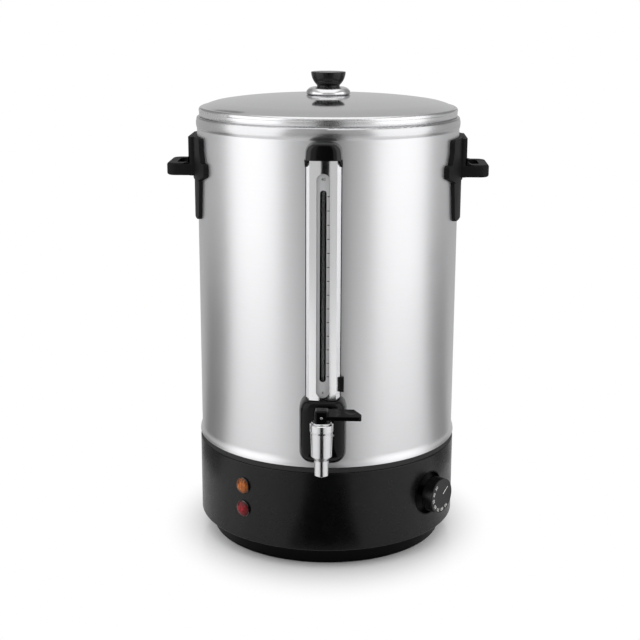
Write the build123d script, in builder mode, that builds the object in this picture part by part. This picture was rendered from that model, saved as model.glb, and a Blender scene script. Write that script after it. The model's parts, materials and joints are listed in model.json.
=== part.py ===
"""Electric hot water urn: a steel drum on a moulded base, with a level gauge, a lever tap and a lift-off lid.

Millimetres, +Z up, front towards -Y. The origin is on the floor, on the drum's axis.
"""

import os
from math import atan2, cos, degrees, radians, sin

from build123d import *

# ---------------------------------------------------------------- driving dimensions
# Drum
drum_radius = 180.0
drum_wall = 1.0
drum_height = 446.0
flare_out = 2.6  # the skirt that hides the joint with the base
flare_height = 12.0
rim_height = 16.0  # polished band under the lid
rim_bulge = 1.3
rim_width = 5.4  # across the rolled top edge
rim_lip = 7.5  # length of the turned-in edge
floor_rise = 6.0  # drum floor above the drum's lower edge
floor_flange = 9.0

# Base
base_step = 2.3  # the base stands this far outside the drum
base_top = 137.0
base_wall = 3.0
base_edge = 26.0  # lower edge of the housing, above the foot ring
base_edge_round = 1.5
flange_width = 28.0
shelf_width = 32.3
seal_height = 8.0  # rubber between the base and the drum
seal_width = 10.0
rib_drop = 34.0
rib_thickness = 2.5
foot_set_back = 10.3
foot_taper = 8.3
foot_land = 8.4
foot_ledge = 7.0
foot_rise = 1.5  # the tread stands this far out of the foot ring
tread_width = 4.0
tread_depth = 2.5
cover_recess = 3.3
cover_thickness = 1.2
pillar_inset = 43.0  # from the cover's edge
pillar_flats = 9.0
pillar_thread = 16.0
cover_screw_radius = 2.0
cover_screw_head = 4.4
cover_screw_length = 12.0
gland_height = 45.0
gland_bore = 4.1
gland_body = 8.0
gland_flange = 11.5
gland_spout = 9.0
block_width = 46.0
block_depth = 22.0
block_height = 20.0
block_inset = 37.0  # from the cover's edge

# Heater under the drum floor
plate_radius = 92.0
plate_thickness = 6.0
element_circle = 72.0
element_radius = 4.0
element_gap_angle = 50.0
element_leg = 17.0
ceramic_wall = 2.0
ceramic_base = 3.0
ceramic_sleeve = 7.0
tab_length = 9.0
tab_width = 6.3
tab_sheet = 0.8
bulb_radius = 3.0
bulb_length = 52.0

# Thermostat dial and lamps
dial_azimuth = 53.0
dial_drop = 53.0  # axis of the dial below the top of the base
dial_recess_radius = 29.5
dial_recess_wall = 1.5
dial_recess_depth = 8.3
dial_radius = 24.6
dial_length = 17.0
dial_stand_off = 3.5  # from the base wall to the back of the dial
shaft_radius = 3.0
shaft_depth = 14.0
thermostat_depth = 22.0
lamp_azimuth = -36.6
lamp_drop = 32.5  # axis of the upper lamp below the top of the base
lamp_spacing = 33.2
lamp_radius = 9.0
lamp_ring = 11.5
lamp_depth = 24.0

# Side handles
handle_drop = 25.3  # top of the handle below the top of the drum
handle_height = 111.2
handle_arm_drop = 54.0
handle_arm_height = 16.8
handle_depth = 30.5  # from the thick middle to the outside of the grip
handle_half_width = 40.0
handle_grip = 13.0
handle_gap = 48.0
handle_arm_fillet = 9.0
handle_grip_round = 3.0
plate_out = 6.0
tail_out = 4.5
core_out = 9.5
plate_half_width = 76.0
wing_half_width = 91.0
wing_height = 17.0
wing_round = 5.0
tail_half_width = 69.5
tail_tip_half_width = 63.0
handle_screw_drop = 24.7
handle_screw_spread = 7.5
handle_screw_radius = 2.5
handle_screw_head = 4.6

# Level gauge
rail_out = 4.2
rail_half_width = 23.0
rail_depth = 10.0  # before the drum's curve is cut out of it
rail_ear_height = 19.0
tube_gap = 7.6  # from the rail to the axis of the tube
tube_radius = 5.5
tube_bore = 4.2
seal_wall = 2.2
guard_gap = 12.2  # from the axis of the tube to the front of the guard
guard_crown = 2.6
guard_sheet = 0.8
guard_corner_half = 17.4
guard_foot_half = 22.3
plate_sheet = 0.8
window_width = 17.0
slot_width = 8.3
cap_drop = 16.0  # top of the gauge below the top of the drum
cap_wall = 1.3
cap_grow = 1.7
cap_roof = 6.0
cap_screw_drop = 8.0
tube_top_drop = 14.0
top_seal_height = 8.0
bottom_seal_height = 12.0
guard_top_drop = 19.0
cap_front_height = 22.0
cap_ear_height = 31.8
window_top_drop = 38.0
slot_top_drop = 59.0

# Tap housing
housing_half_width = 31.0
housing_rise = 8.5  # above the drum's lower edge
housing_height = 96.5
housing_lip = 4.0  # in front of the gauge's guard
housing_wall = 3.0
housing_corner = 10.0
housing_shoulder_width = 11.0
housing_shoulder_height = 17.0
housing_edge_round = 14.0
housing_round = 8.0
toe_depth = 24.0
toe_rise = 28.0
guard_bottom_drop = 5.7  # below the top of the tap housing
window_bottom_drop = 2.0
slot_bottom_rise = 18.0

# Tap
tap_overhang = 27.0  # from the housing's face to the axis of the tap
shank_rise = 44.5  # above the bottom of the tap housing
tube_rise = 27.0  # lower end of the sight tube above the shank's axis
shank_radius = 7.5
shank_bore = 5.0
nut_length = 7.0
nut_flats = 24.0
washer_radius = 12.0
washer_sheet = 4.0
tee_wall = 3.5
tap_below = 22.2  # the body's lower end below the shank's axis
tap_above = 26.5
collar_radius = 15.0
collar_height = 10.0
body_top_radius = 14.2
body_bottom_radius = 13.3
boss_radius = 10.5
chamber_radius = 10.0
chamber_below = 11.0
chamber_above = 6.0
bonnet_radius = 11.5
bonnet_rise = 2.0
nozzle_radius = 9.3
nozzle_bore = 6.2
nozzle_length = 21.1
spigot_length = 6.0
stem_radius = 3.0
cup_radius = 8.2
cup_height = 4.8
pin_rise = 9.2
pin_radius = 1.6
eye_radius = 4.6
eye_thickness = 6.4
hub_half = 8.75
hub_depth = 18.0
hub_rise = 8.9
lever_length = 50.5
lever_depth = 21.0
lever_thickness = 6.0
lever_rise = 4.0
lever_drop = 3.2  # the arm's lower face above the hub's
spring_wire = 0.6
spring_radius = 5.0

# Lid
lid_sheet = 0.8
lid_set_in = 3.0
lid_bead = 13.0
lid_crease_in = 5.3
lid_dome = 15.6
lid_skirt = 8.5
knob_plate_radius = 30.6
knob_plate_rise = 10.0  # above the top of the dome
knob_plate_lip = 2.6
knob_top_radius = 23.7
knob_neck_radius = 15.6
knob_neck_height = 2.4
knob_height = 20.4
knob_edge_round = 1.0
knob_screw_radius = 2.5
knob_screw_head = 4.8
knob_screw_depth = 14.0

# Clearances
fit = 0.05  # a piece that seats in or on another of the same body
running = 0.05  # a shaft or sleeve that turns or slides
rest_gap = 0.3  # between faces of pieces that part

# ---------------------------------------------------------------- positions that follow
base_radius = drum_radius + base_step
shelf_radius = base_radius - shelf_width
flange_radius = base_radius - flange_width
ring_top_radius = base_radius - foot_set_back
ring_bottom_radius = ring_top_radius - foot_taper
land_radius = ring_bottom_radius - foot_land
cover_radius = land_radius - rest_gap
cover_bottom = foot_rise + cover_recess
cover_top = cover_bottom + cover_thickness
pillar_circle = cover_radius - pillar_inset
drum_bottom = base_top + seal_height
drum_top = drum_bottom + drum_height
inner_radius = drum_radius - drum_wall
floor_height = drum_bottom + floor_rise
dial_height = base_top - dial_drop
lamp_heights = (base_top - lamp_drop, base_top - lamp_drop - lamp_spacing)

handle_top = drum_top - handle_drop
tail_bottom = handle_top - handle_height
handle_arm_bottom = handle_top - handle_arm_drop
handle_arm_top = handle_arm_bottom + handle_arm_height
handle_screw_height = handle_top - handle_screw_drop
core_face = drum_radius + core_out
handle_reach = core_face + handle_depth

rail_face = drum_radius + rail_out
tube_reach = rail_face + tube_gap
guard_front = tube_reach + guard_gap
guard_corner = guard_front - guard_crown
housing_face = guard_front + housing_lip
tap_reach = housing_face + tap_overhang
cap_top = drum_top - cap_drop
cap_screw_height = cap_top - cap_screw_drop
tube_top = cap_top - tube_top_drop
guard_top = cap_top - guard_top_drop
cap_front_edge = cap_top - cap_front_height
cap_ear_edge = cap_top - cap_ear_height
window_top = cap_top - window_top_drop
slot_top = cap_top - slot_top_drop
housing_bottom = drum_bottom + housing_rise
housing_top = housing_bottom + housing_height
guard_bottom = housing_top - guard_bottom_drop
window_bottom = housing_top - window_bottom_drop
slot_bottom = housing_top + slot_bottom_rise

shank_height = housing_bottom + shank_rise
tube_bottom = shank_height + tube_rise
tap_bottom = shank_height - tap_below
tap_top = shank_height + tap_above
chamber_floor = shank_height - chamber_below
chamber_top = shank_height + chamber_above
nozzle_bottom = tap_bottom - nozzle_length
pin_height = tap_top + pin_rise
hub_top = pin_height + hub_rise
lid_radius = drum_radius - lid_set_in
lid_crease_radius = lid_radius - lid_crease_in


def radial_plane(azimuth, height, distance):
    """A plane that faces outwards, x to the right and y up as seen from outside."""
    turn = radians(azimuth)
    return Plane(
        origin=(distance * sin(turn), -distance * cos(turn), height),
        x_dir=(cos(turn), sin(turn), 0),
        z_dir=(sin(turn), -cos(turn), 0),
    )


def outward(azimuth):
    """The axis that points away from the drum at an azimuth."""
    turn = radians(azimuth)
    return Axis((0, 0, 0), (sin(turn), -cos(turn), 0))


tap_plane = Plane.XZ.offset(tap_reach)
tap_axis = Axis((0, -tap_reach, 0), (0, 0, 1))
dial_plane = radial_plane(dial_azimuth, dial_height, 0)
handle_sides = (-handle_screw_spread, handle_screw_spread)

# ---------------------------------------------------------------- drum
rim_bottom = drum_top - rim_height
mouth_radius = drum_radius - rim_width + 0.2
flare_turn = degrees(2 * atan2(flare_out, flare_height))
flare_radius = flare_height / 2 / sin(radians(flare_turn))

with BuildPart() as drum_shell:
    with BuildSketch(Plane.XZ):
        with BuildLine():
            flare = JernArc((drum_radius + flare_out, drum_bottom), (0, 1), flare_radius, flare_turn)
            JernArc(flare @ 1, flare % 1, flare_radius, -flare_turn)
            Line((drum_radius, drum_bottom + flare_height), (drum_radius, rim_bottom))
            ThreePointArc(
                (drum_radius, rim_bottom),
                (drum_radius + rim_bulge, rim_bottom + rim_height / 2),
                (drum_radius + 0.4, drum_top - 2.6),
            )
            ThreePointArc(
                (drum_radius + 0.4, drum_top - 2.6),
                (drum_radius - 0.4, drum_top - 0.7),
                (drum_radius - 2.1, drum_top),
            )
            Line((drum_radius - 2.1, drum_top), (mouth_radius + 1.3, drum_top))
            ThreePointArc(
                (mouth_radius + 1.3, drum_top),
                (mouth_radius + 0.38, drum_top - 0.38),
                (mouth_radius, drum_top - 1.3),
            )
            Line((mouth_radius, drum_top - 1.3), (mouth_radius, drum_top - rim_lip))
            offset(amount=drum_wall, side=Side.LEFT)
        make_face()
    revolve(axis=Axis.Z)
    with BuildSketch(radial_plane(0, shank_height, 0)):
        Circle(shank_radius + fit)
    extrude(amount=drum_radius + flare_out, mode=Mode.SUBTRACT)
    with BuildSketch(radial_plane(0, cap_screw_height, 0)):
        Circle(2 + fit)
    extrude(amount=drum_radius + flare_out, mode=Mode.SUBTRACT)
    for side in (-90, 90):
        for spread in handle_sides:
            with BuildSketch(radial_plane(side + spread, handle_screw_height, 0)):
                Circle(handle_screw_radius + fit)
            extrude(amount=drum_radius + flare_out, mode=Mode.SUBTRACT)

with BuildPart() as drum_floor:
    with BuildSketch(Plane.XZ):
        with BuildLine():
            Line((0, floor_height), (inner_radius - fit - 4, floor_height))
            RadiusArc(
                (inner_radius - fit - 4, floor_height),
                (inner_radius - fit, floor_height + 4),
                -4,
            )
            Line(
                (inner_radius - fit, floor_height + 4),
                (inner_radius - fit, floor_height + floor_flange),
            )
            offset(amount=drum_wall, side=Side.LEFT)
        make_face()
    revolve(axis=Axis.Z)

with BuildPart() as base_seal_ring:
    with BuildSketch(Plane.XZ):
        with Locations((base_radius - seal_width / 2 - 0.4, (base_top + drum_bottom) / 2)):
            Rectangle(seal_width, seal_height)
    revolve(axis=Axis.Z)
    chamfer(base_seal_ring.edges().filter_by(GeomType.CIRCLE).sort_by(Axis.Z)[:2], 0.8)

# ---------------------------------------------------------------- base housing and its underside
with BuildPart() as base_housing:
    with BuildSketch(Plane.XZ):
        Polygon(
            (flange_radius, base_edge),
            (base_radius, base_edge),
            (base_radius, base_top),
            (shelf_radius, base_top),
            (shelf_radius, base_top - base_wall),
            (base_radius - base_wall, base_top - base_wall),
            (base_radius - base_wall, base_edge + base_wall),
            (flange_radius, base_edge + base_wall),
            align=None,
        )
        fillet(vertices().group_by(Axis.X)[-1], base_edge_round)
    revolve(axis=Axis.Z)
    # ribs that carry the shelf
    with BuildSketch(Plane.XZ.offset(-rib_thickness / 2)):
        Polygon(
            (base_radius - base_wall + 0.5, base_top - base_wall + 0.5),
            (shelf_radius + 2, base_top - base_wall + 0.5),
            (base_radius - base_wall + 0.5, base_top - base_wall - rib_drop),
            align=None,
        )
    rib = extrude(amount=rib_thickness, mode=Mode.PRIVATE)
    with PolarLocations(0, 12, start_angle=dial_azimuth - 75):
        add(rib)
    with BuildSketch(dial_plane):
        Circle(dial_recess_radius + dial_recess_wall + fit)
    extrude(amount=base_radius + 5, mode=Mode.SUBTRACT)
    for height in lamp_heights:
        with BuildSketch(radial_plane(lamp_azimuth, height, 0)):
            Circle(lamp_radius + fit)
        extrude(amount=base_radius + 5, mode=Mode.SUBTRACT)
    with BuildSketch(radial_plane(180, gland_height, 0)):
        Circle(gland_body + fit)
    extrude(amount=base_radius + 5, mode=Mode.SUBTRACT)

# the ring that the base stands on: a sloping wall with a flange above and a ledge for the cover
wall_slope = foot_taper / (base_edge - base_wall - foot_rise)
ledge_top = cover_top + base_wall
with BuildPart() as foot_ring:
    with BuildSketch(Plane.XZ):
        Polygon(
            (ring_bottom_radius, foot_rise),
            (ring_top_radius, base_edge - base_wall),
            (ring_top_radius, base_edge),
            (flange_radius, base_edge),
            (flange_radius, base_edge - base_wall),
            (ring_top_radius - base_wall, base_edge - base_wall),
            (ring_bottom_radius - base_wall + wall_slope * (ledge_top - foot_rise), ledge_top),
            (land_radius - foot_ledge, ledge_top),
            (land_radius - foot_ledge, cover_top),
            (land_radius, cover_top),
            (land_radius, foot_rise),
            align=None,
        )
        fillet(vertices().group_by(Axis.X)[-1], 1)
    revolve(axis=Axis.Z)
    with BuildSketch(Plane.XZ):
        with Locations(((ring_bottom_radius + land_radius) / 2, foot_rise)):
            Rectangle(tread_width + 2 * fit, 2 * tread_depth)
    revolve(axis=Axis.Z, mode=Mode.SUBTRACT)

with BuildPart() as foot_tread:
    with BuildSketch(Plane.XZ):
        with Locations(((ring_bottom_radius + land_radius) / 2, 0)):
            Rectangle(tread_width, foot_rise + tread_depth - fit, align=(Align.CENTER, Align.MIN))
        chamfer(vertices().group_by(Axis.Y)[0], 0.5)
    revolve(axis=Axis.Z)

with BuildPart() as bottom_cover:
    with BuildSketch(Plane.XY.offset(cover_bottom)):
        Circle(cover_radius)
        with PolarLocations(pillar_circle, 3, start_angle=30):
            Circle(cover_screw_radius + rest_gap, mode=Mode.SUBTRACT)
        for ring in (45, 60, 75):
            with PolarLocations(ring, 12):
                SlotOverall(9, 4, rotation=90, mode=Mode.SUBTRACT)
    extrude(amount=cover_thickness)

with BuildPart() as base_pillars:
    with BuildSketch(Plane.XY.offset(cover_top)):
        with PolarLocations(pillar_circle, 3, start_angle=30):
            RegularPolygon(pillar_flats / 2, 6, major_radius=False)
            Circle(cover_screw_radius + fit, mode=Mode.SUBTRACT)
    extrude(amount=pillar_thread)
    with BuildSketch(Plane.XY.offset(cover_top + pillar_thread)):
        with PolarLocations(pillar_circle, 3, start_angle=30):
            RegularPolygon(pillar_flats / 2, 6, major_radius=False)
    extrude(amount=floor_height - cover_top - pillar_thread)

cover_head_height = cover_screw_head / 2
with BuildPart() as bottom_cover_screws:
    with BuildSketch(Plane.XY.offset(cover_bottom - cover_head_height)):
        with PolarLocations(pillar_circle, 3, start_angle=30):
            Circle(cover_screw_head)
    extrude(amount=cover_head_height)
    chamfer(bottom_cover_screws.edges().group_by(Axis.Z)[0], 0.6)
    with BuildSketch(Plane.XY.offset(cover_bottom - cover_head_height)):
        with PolarLocations(pillar_circle, 3, start_angle=30):
            Rectangle(5, 0.9)
            Rectangle(0.9, 5)
    extrude(amount=1, mode=Mode.SUBTRACT)
    with BuildSketch(Plane.XY.offset(cover_bottom)):
        with PolarLocations(pillar_circle, 3, start_angle=30):
            Circle(cover_screw_radius)
    extrude(amount=cover_screw_length)

# ---------------------------------------------------------------- heater
plate_bottom = floor_height - plate_thickness
with BuildPart() as heat_plate:
    with BuildSketch(Plane.XY.offset(plate_bottom)):
        Circle(plate_radius)
    extrude(amount=plate_thickness)
    with BuildSketch(Plane.XZ):
        with Locations((element_circle, plate_bottom)):
            Circle(element_radius + fit)
    revolve(axis=Axis.Z, mode=Mode.SUBTRACT)

leg_angles = (90 - element_gap_angle / 2, 90 + element_gap_angle / 2)
with BuildPart() as heating_element:
    with BuildSketch(Plane.XZ.rotated((0, 0, leg_angles[1]))):
        with Locations((element_circle, plate_bottom)):
            Circle(element_radius)
    revolve(axis=Axis.Z, revolution_arc=360 - element_gap_angle)
    for angle in leg_angles:
        leg = (element_circle * cos(radians(angle)), element_circle * sin(radians(angle)))
        with BuildSketch(Plane.XY.offset(plate_bottom - element_leg)):
            with Locations(leg):
                Circle(element_radius)
        extrude(amount=element_leg)
        with Locations((*leg, plate_bottom)):
            Sphere(element_radius)

with BuildPart() as element_terminals:
    for angle in leg_angles:
        leg = (element_circle * cos(radians(angle)), element_circle * sin(radians(angle)))
        leg_end = plate_bottom - element_leg
        with BuildSketch(Plane.XY.offset(leg_end - ceramic_base)):
            with Locations(leg):
                Circle(element_radius + ceramic_wall)
        extrude(amount=ceramic_base + ceramic_sleeve)
        with BuildSketch(Plane.XY.offset(leg_end)):
            with Locations(leg):
                Circle(element_radius + fit)
        extrude(amount=ceramic_sleeve, mode=Mode.SUBTRACT)
        with BuildSketch(Plane.XY.offset(leg_end - ceramic_base - tab_length)):
            with Locations(leg):
                Rectangle(tab_width, tab_sheet)
        extrude(amount=tab_length)

bulb_y = -22.0
bulb_height = plate_bottom - bulb_radius
with BuildPart() as thermostat_bulb:
    with BuildSketch(Plane.YZ):
        with Locations((bulb_y, bulb_height)):
            Circle(bulb_radius)
    extrude(amount=bulb_length)
    chamfer(thermostat_bulb.edges(), 1)

with BuildPart() as bulb_clip:
    with BuildSketch(Plane.YZ.offset(20)):
        with Locations((bulb_y, bulb_height)):
            Circle(bulb_radius + fit + 0.8)
        with Locations((bulb_y, (bulb_height + plate_bottom) / 2)):
            Rectangle(2 * (bulb_radius + fit + 0.8), bulb_radius)
        with Locations((bulb_y, plate_bottom - 0.5)):
            Rectangle(24, 1)
        with Locations((bulb_y, bulb_height)):
            Circle(bulb_radius + fit, mode=Mode.SUBTRACT)
        with Locations((bulb_y, (bulb_height + plate_bottom) / 2)):
            Rectangle(2 * (bulb_radius + fit), bulb_radius + 0.02, mode=Mode.SUBTRACT)
        with Locations((bulb_y, plate_bottom)):
            Rectangle(40, 5, align=(Align.CENTER, Align.MIN), mode=Mode.SUBTRACT)
    extrude(amount=10)

with BuildPart() as boil_dry_cutout:
    with BuildSketch(Plane.XY.offset(plate_bottom - 6)):
        with Locations((-32, 12)):
            Circle(12.5)
    extrude(amount=6)
    with BuildSketch(Plane.XY.offset(plate_bottom - 15)):
        with Locations((-32, 12)):
            Circle(8.5)
    extrude(amount=9)
    with BuildSketch(Plane.XY.offset(plate_bottom - 15 - tab_length)):
        with Locations((-36, 12), (-28, 12)):
            Rectangle(tab_sheet, tab_width)
    extrude(amount=tab_length)

# ---------------------------------------------------------------- dial, thermostat and lamps
recess_floor = base_radius - dial_recess_depth
recess_back = recess_floor - 2
with BuildPart() as dial_recess:
    with BuildSketch(dial_plane.offset(recess_back)):
        Circle(dial_recess_radius + dial_recess_wall)
        Circle(5 + fit, mode=Mode.SUBTRACT)
    extrude(amount=2 * dial_recess_depth)
    with BuildSketch(dial_plane.offset(recess_floor)):
        Circle(dial_recess_radius)
    extrude(amount=2 * dial_recess_depth, mode=Mode.SUBTRACT)
    with BuildSketch(Plane.XY.offset(base_edge)):
        Circle(base_radius + 0.4)
    extrude(amount=base_top - base_edge, mode=Mode.INTERSECT)

with BuildPart() as thermostat_body:
    with BuildSketch(dial_plane.offset(recess_back - thermostat_depth)):
        RectangleRounded(36, 32, 4)
    extrude(amount=thermostat_depth)
    with BuildSketch(dial_plane.offset(recess_back)):
        Circle(5)
    extrude(amount=2)
    with BuildSketch(dial_plane.offset(recess_floor - shaft_depth)):
        Circle(shaft_radius + running)
    extrude(amount=20, mode=Mode.SUBTRACT)
    with BuildSketch(dial_plane.offset(recess_back - thermostat_depth - 8)):
        with Locations((-10, 8), (10, 8)):
            Rectangle(tab_sheet, tab_width)
    extrude(amount=8)

dial_back = base_radius + dial_stand_off
dial_face = dial_back + dial_length
with BuildPart() as thermostat_shaft:
    with BuildSketch(dial_plane.offset(recess_floor - shaft_depth + running)):
        Circle(shaft_radius)
    extrude(amount=dial_face - 5 - recess_floor + shaft_depth)
    with BuildSketch(dial_plane.offset(dial_back)):
        with Locations((0, shaft_radius)):
            Rectangle(2 * shaft_radius, 2.4)
    extrude(amount=dial_length, mode=Mode.SUBTRACT)

with BuildPart() as thermostat_knob:
    with BuildSketch(dial_plane.offset(dial_back)):
        Circle(dial_radius)
    extrude(amount=dial_length)
    fillet(thermostat_knob.edges().filter_by(GeomType.CIRCLE), 0.9)
    with BuildSketch(dial_plane.offset(dial_back)):
        Circle(dial_radius - 2.5)
    extrude(amount=dial_length - 4, mode=Mode.SUBTRACT)
    with BuildSketch(dial_plane.offset(recess_floor + 0.6)):
        Circle(7)
    extrude(amount=dial_face - 3 - recess_floor)
    with BuildSketch(dial_plane.offset(recess_floor)):
        Circle(shaft_radius + fit)
        with Locations((0, shaft_radius)):
            Rectangle(2 * shaft_radius, 2.4 - 2 * fit, mode=Mode.SUBTRACT)
    extrude(amount=dial_face - 5 + fit - recess_floor, mode=Mode.SUBTRACT)
    with BuildSketch(dial_plane.offset(recess_floor)):
        Circle(shaft_radius + fit)
    extrude(amount=dial_back - recess_floor, mode=Mode.SUBTRACT)

with BuildPart() as lamp_bezels:
    for height in lamp_heights:
        with BuildSketch(radial_plane(lamp_azimuth, height, base_radius - 1)):
            Circle(lamp_ring)
            Circle(lamp_radius + fit, mode=Mode.SUBTRACT)
        extrude(amount=3.4)
    chamfer(
        lamp_bezels.edges().filter_by(GeomType.CIRCLE).filter_by(lambda e: e.radius > lamp_radius + 1),
        0.8,
    )
    with BuildSketch(Plane.XY.offset(base_edge)):
        Circle(base_radius)
    extrude(amount=base_top - base_edge, mode=Mode.SUBTRACT)

lens_front = base_radius + 3.6
lens_back = base_radius - 6
for height, lens_name in zip(lamp_heights, ("amber_lens", "red_lens")):
    with BuildPart() as lens:
        with BuildSketch(radial_plane(lamp_azimuth, height, lens_back)):
            Circle(lamp_radius)
        extrude(amount=lens_front - lens_back)
        fillet(lens.faces().sort_by(outward(lamp_azimuth))[-1].edges(), 2)
    if lens_name == "amber_lens":
        amber_lens = lens
    else:
        red_lens = lens

with BuildPart() as lamp_bodies:
    for height in lamp_heights:
        with BuildSketch(radial_plane(lamp_azimuth, height, lens_back - lamp_depth)):
            Circle(lamp_radius - 1.5)
        extrude(amount=lamp_depth)
        with BuildSketch(radial_plane(lamp_azimuth, height, lens_back - lamp_depth - 7)):
            with Locations((-4, 0), (4, 0)):
                Rectangle(tab_sheet, 4.8)
        extrude(amount=7)

# ---------------------------------------------------------------- mains entry and wiring
with BuildPart() as cord_gland:
    with BuildSketch(radial_plane(180, gland_height, base_radius - 16)):
        Circle(gland_body)
    extrude(amount=18)
    with BuildSketch(radial_plane(180, gland_height, base_radius)):
        Circle(gland_flange)
    extrude(amount=4)
    with BuildSketch(radial_plane(180, gland_height, base_radius + 4)):
        Circle(gland_flange - 3)
    extrude(amount=gland_spout, taper=12)
    with BuildSketch(radial_plane(180, gland_height, base_radius - 16)):
        Circle(gland_bore)
    extrude(amount=20 + gland_spout, mode=Mode.SUBTRACT)

with BuildPart() as gland_nut:
    with BuildSketch(radial_plane(180, gland_height, base_radius - base_wall - 6.5)):
        RegularPolygon(11, 6, major_radius=False)
        Circle(gland_body + fit, mode=Mode.SUBTRACT)
    extrude(amount=6)

block_y = cover_radius - block_inset
block_top = cover_top + block_height
with BuildPart() as terminal_block:
    with BuildSketch(Plane.XY.offset(cover_top)):
        with Locations((0, block_y)):
            RectangleRounded(block_width, block_depth, 2)
    extrude(amount=block_height)
    with BuildSketch(Plane.XY.offset(block_top)):
        with Locations((0, block_y)):
            with GridLocations(14, block_depth / 2, 3, 2):
                Circle(2.2)
    extrude(amount=-5, mode=Mode.SUBTRACT)

wire_radius = 1.2
wire_bend = 8.0
leg_x = element_circle * cos(radians(leg_angles[0]))
leg_y = element_circle * sin(radians(leg_angles[0]))
tab_end = plate_bottom - element_leg - ceramic_base - tab_length
cutout_end = plate_bottom - 15 - tab_length
screw_y = block_y - block_depth / 4
screw_end = block_top - 4.8
rise = block_top + 22
thermostat_tabs = [
    radial_plane(dial_azimuth, dial_height, recess_back - thermostat_depth - 8).from_local_coords((x, 8, 0))
    for x in (-10, 10)
]
thermostat_bends = [
    radial_plane(dial_azimuth, dial_height, recess_back - thermostat_depth - 34).from_local_coords((x, 8, 0))
    for x in (-10, 10)
]
wire_routes = [
    [(14, screw_y, screw_end), (14, screw_y, rise), (leg_x, leg_y, tab_end - 26), (leg_x, leg_y, tab_end)],
    [(-14, screw_y, screw_end), (-14, screw_y, rise), (-leg_x, leg_y, tab_end - 26), (-leg_x, leg_y, tab_end)],
    [(-36, 12, cutout_end), (-36, 12, cutout_end - 20), thermostat_bends[0], thermostat_tabs[0]],
    [thermostat_tabs[1], thermostat_bends[1], (0, screw_y, rise + 30), (0, screw_y, screw_end)],
]
with BuildPart() as wiring_loom:
    for points in wire_routes:
        with BuildLine() as route:
            FilletPolyline(*points, radius=wire_bend)
        with BuildSketch(Plane(origin=route.line @ 0, z_dir=route.line % 0)):
            Circle(wire_radius)
        sweep(path=route.line)

bulb_end = (bulb_length, bulb_y, bulb_height)
body_top = radial_plane(dial_azimuth, dial_height + 16, recess_back - thermostat_depth / 2).origin
with BuildPart() as capillary_tube:
    with BuildLine() as route:
        FilletPolyline(
            bulb_end,
            (bulb_end[0] + 4.5, bulb_y, bulb_height),
            (bulb_end[0] + 14, bulb_y, bulb_height - 10),
            (96, bulb_y, bulb_height - 10),
            (body_top.X, body_top.Y, body_top.Z + 30),
            body_top,
            radius=wire_bend,
        )
    with BuildSketch(Plane(origin=route.line @ 0, z_dir=route.line % 0)):
        Circle(1)
    sweep(path=route.line)

# ---------------------------------------------------------------- side handles
with BuildPart() as handle_right:
    # the plate that hugs the drum, cut to its outline as seen from the side
    with BuildSketch(Plane.YZ.offset(drum_radius - 60)):
        with BuildLine():
            Polyline(
                (0, handle_top),
                (plate_half_width, handle_top),
                (plate_half_width, handle_arm_top + 22),
                (plate_half_width + 5, handle_arm_top + 5),
                (wing_half_width, handle_arm_top + 5),
                (wing_half_width, handle_arm_top + 5 - wing_height),
                (tail_half_width, handle_arm_bottom - 3),
                (tail_tip_half_width, tail_bottom),
                (0, tail_bottom),
                close=True,
            )
        make_face()
        mirror(about=Plane.YZ)
        fillet(vertices().group_by(Axis.Y)[-1], 5)
        fillet(vertices().group_by(Axis.Y)[0], 9)
        fillet(vertices().group_by(Axis.X)[-1], wing_round)
        fillet(vertices().group_by(Axis.X)[0], wing_round)
    extrude(amount=drum_radius)
    with BuildSketch(Plane.XY.offset(tail_bottom - 5)):
        Circle(drum_radius + plate_out)
    extrude(amount=handle_top - tail_bottom + 10, mode=Mode.INTERSECT)
    with BuildSketch(Plane.XY.offset(tail_bottom - 1)):
        Circle(drum_radius + plate_out + 2)
        Circle(drum_radius + tail_out, mode=Mode.SUBTRACT)
    extrude(amount=handle_arm_bottom - 3 - tail_bottom, mode=Mode.SUBTRACT)
    # the thick middle above the arms
    with BuildSketch(Plane.XY.offset(handle_arm_bottom)):
        with Locations((core_face / 2, 0)):
            Rectangle(core_face, 2 * handle_half_width)
    extrude(amount=handle_top - 1.5 - handle_arm_bottom)
    fillet(handle_right.edges().filter_by(Axis.Z).group_by(Axis.X)[-1], 6)
    # the grip: two arms and a bar round the finger gap
    with BuildSketch(Plane.XY.offset(handle_arm_bottom)):
        with Locations((handle_reach / 2, 0)):
            Rectangle(handle_reach, 2 * handle_half_width)
        fillet(vertices().group_by(Axis.X)[-1], 13)
    grip = extrude(amount=handle_arm_height, mode=Mode.PRIVATE)
    rims = grip.edges().group_by(Axis.Z)
    add(grip.solid().fillet(handle_grip_round, rims[0] + rims[-1]))
    with BuildSketch(Plane.XZ.offset(-handle_half_width)):
        with Locations((core_face, handle_arm_top)):
            Rectangle(handle_arm_fillet, handle_arm_fillet, align=(Align.MIN, Align.MIN))
        with Locations((core_face + handle_arm_fillet, handle_arm_top + handle_arm_fillet)):
            Circle(handle_arm_fillet, mode=Mode.SUBTRACT)
    extrude(amount=2 * handle_half_width)
    with BuildSketch(Plane.XY.offset(handle_arm_bottom)):
        with Locations((core_face + (handle_depth - handle_grip) / 2, 0)):
            RectangleRounded(handle_depth - handle_grip, handle_gap, 5)
    extrude(amount=handle_arm_height + handle_arm_fillet + 1, mode=Mode.SUBTRACT)
    with BuildSketch(Plane.XY.offset(tail_bottom - 5)):
        Circle(drum_radius)
    extrude(amount=handle_top - tail_bottom + 10, mode=Mode.SUBTRACT)
    for spread in handle_sides:
        with BuildSketch(radial_plane(90 + spread, handle_screw_height, 0)):
            Circle(handle_screw_radius + fit)
        extrude(amount=core_face - 2.5, mode=Mode.SUBTRACT)

with BuildPart() as handle_left:
    add(handle_right.part.mirror(Plane.YZ))

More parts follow.
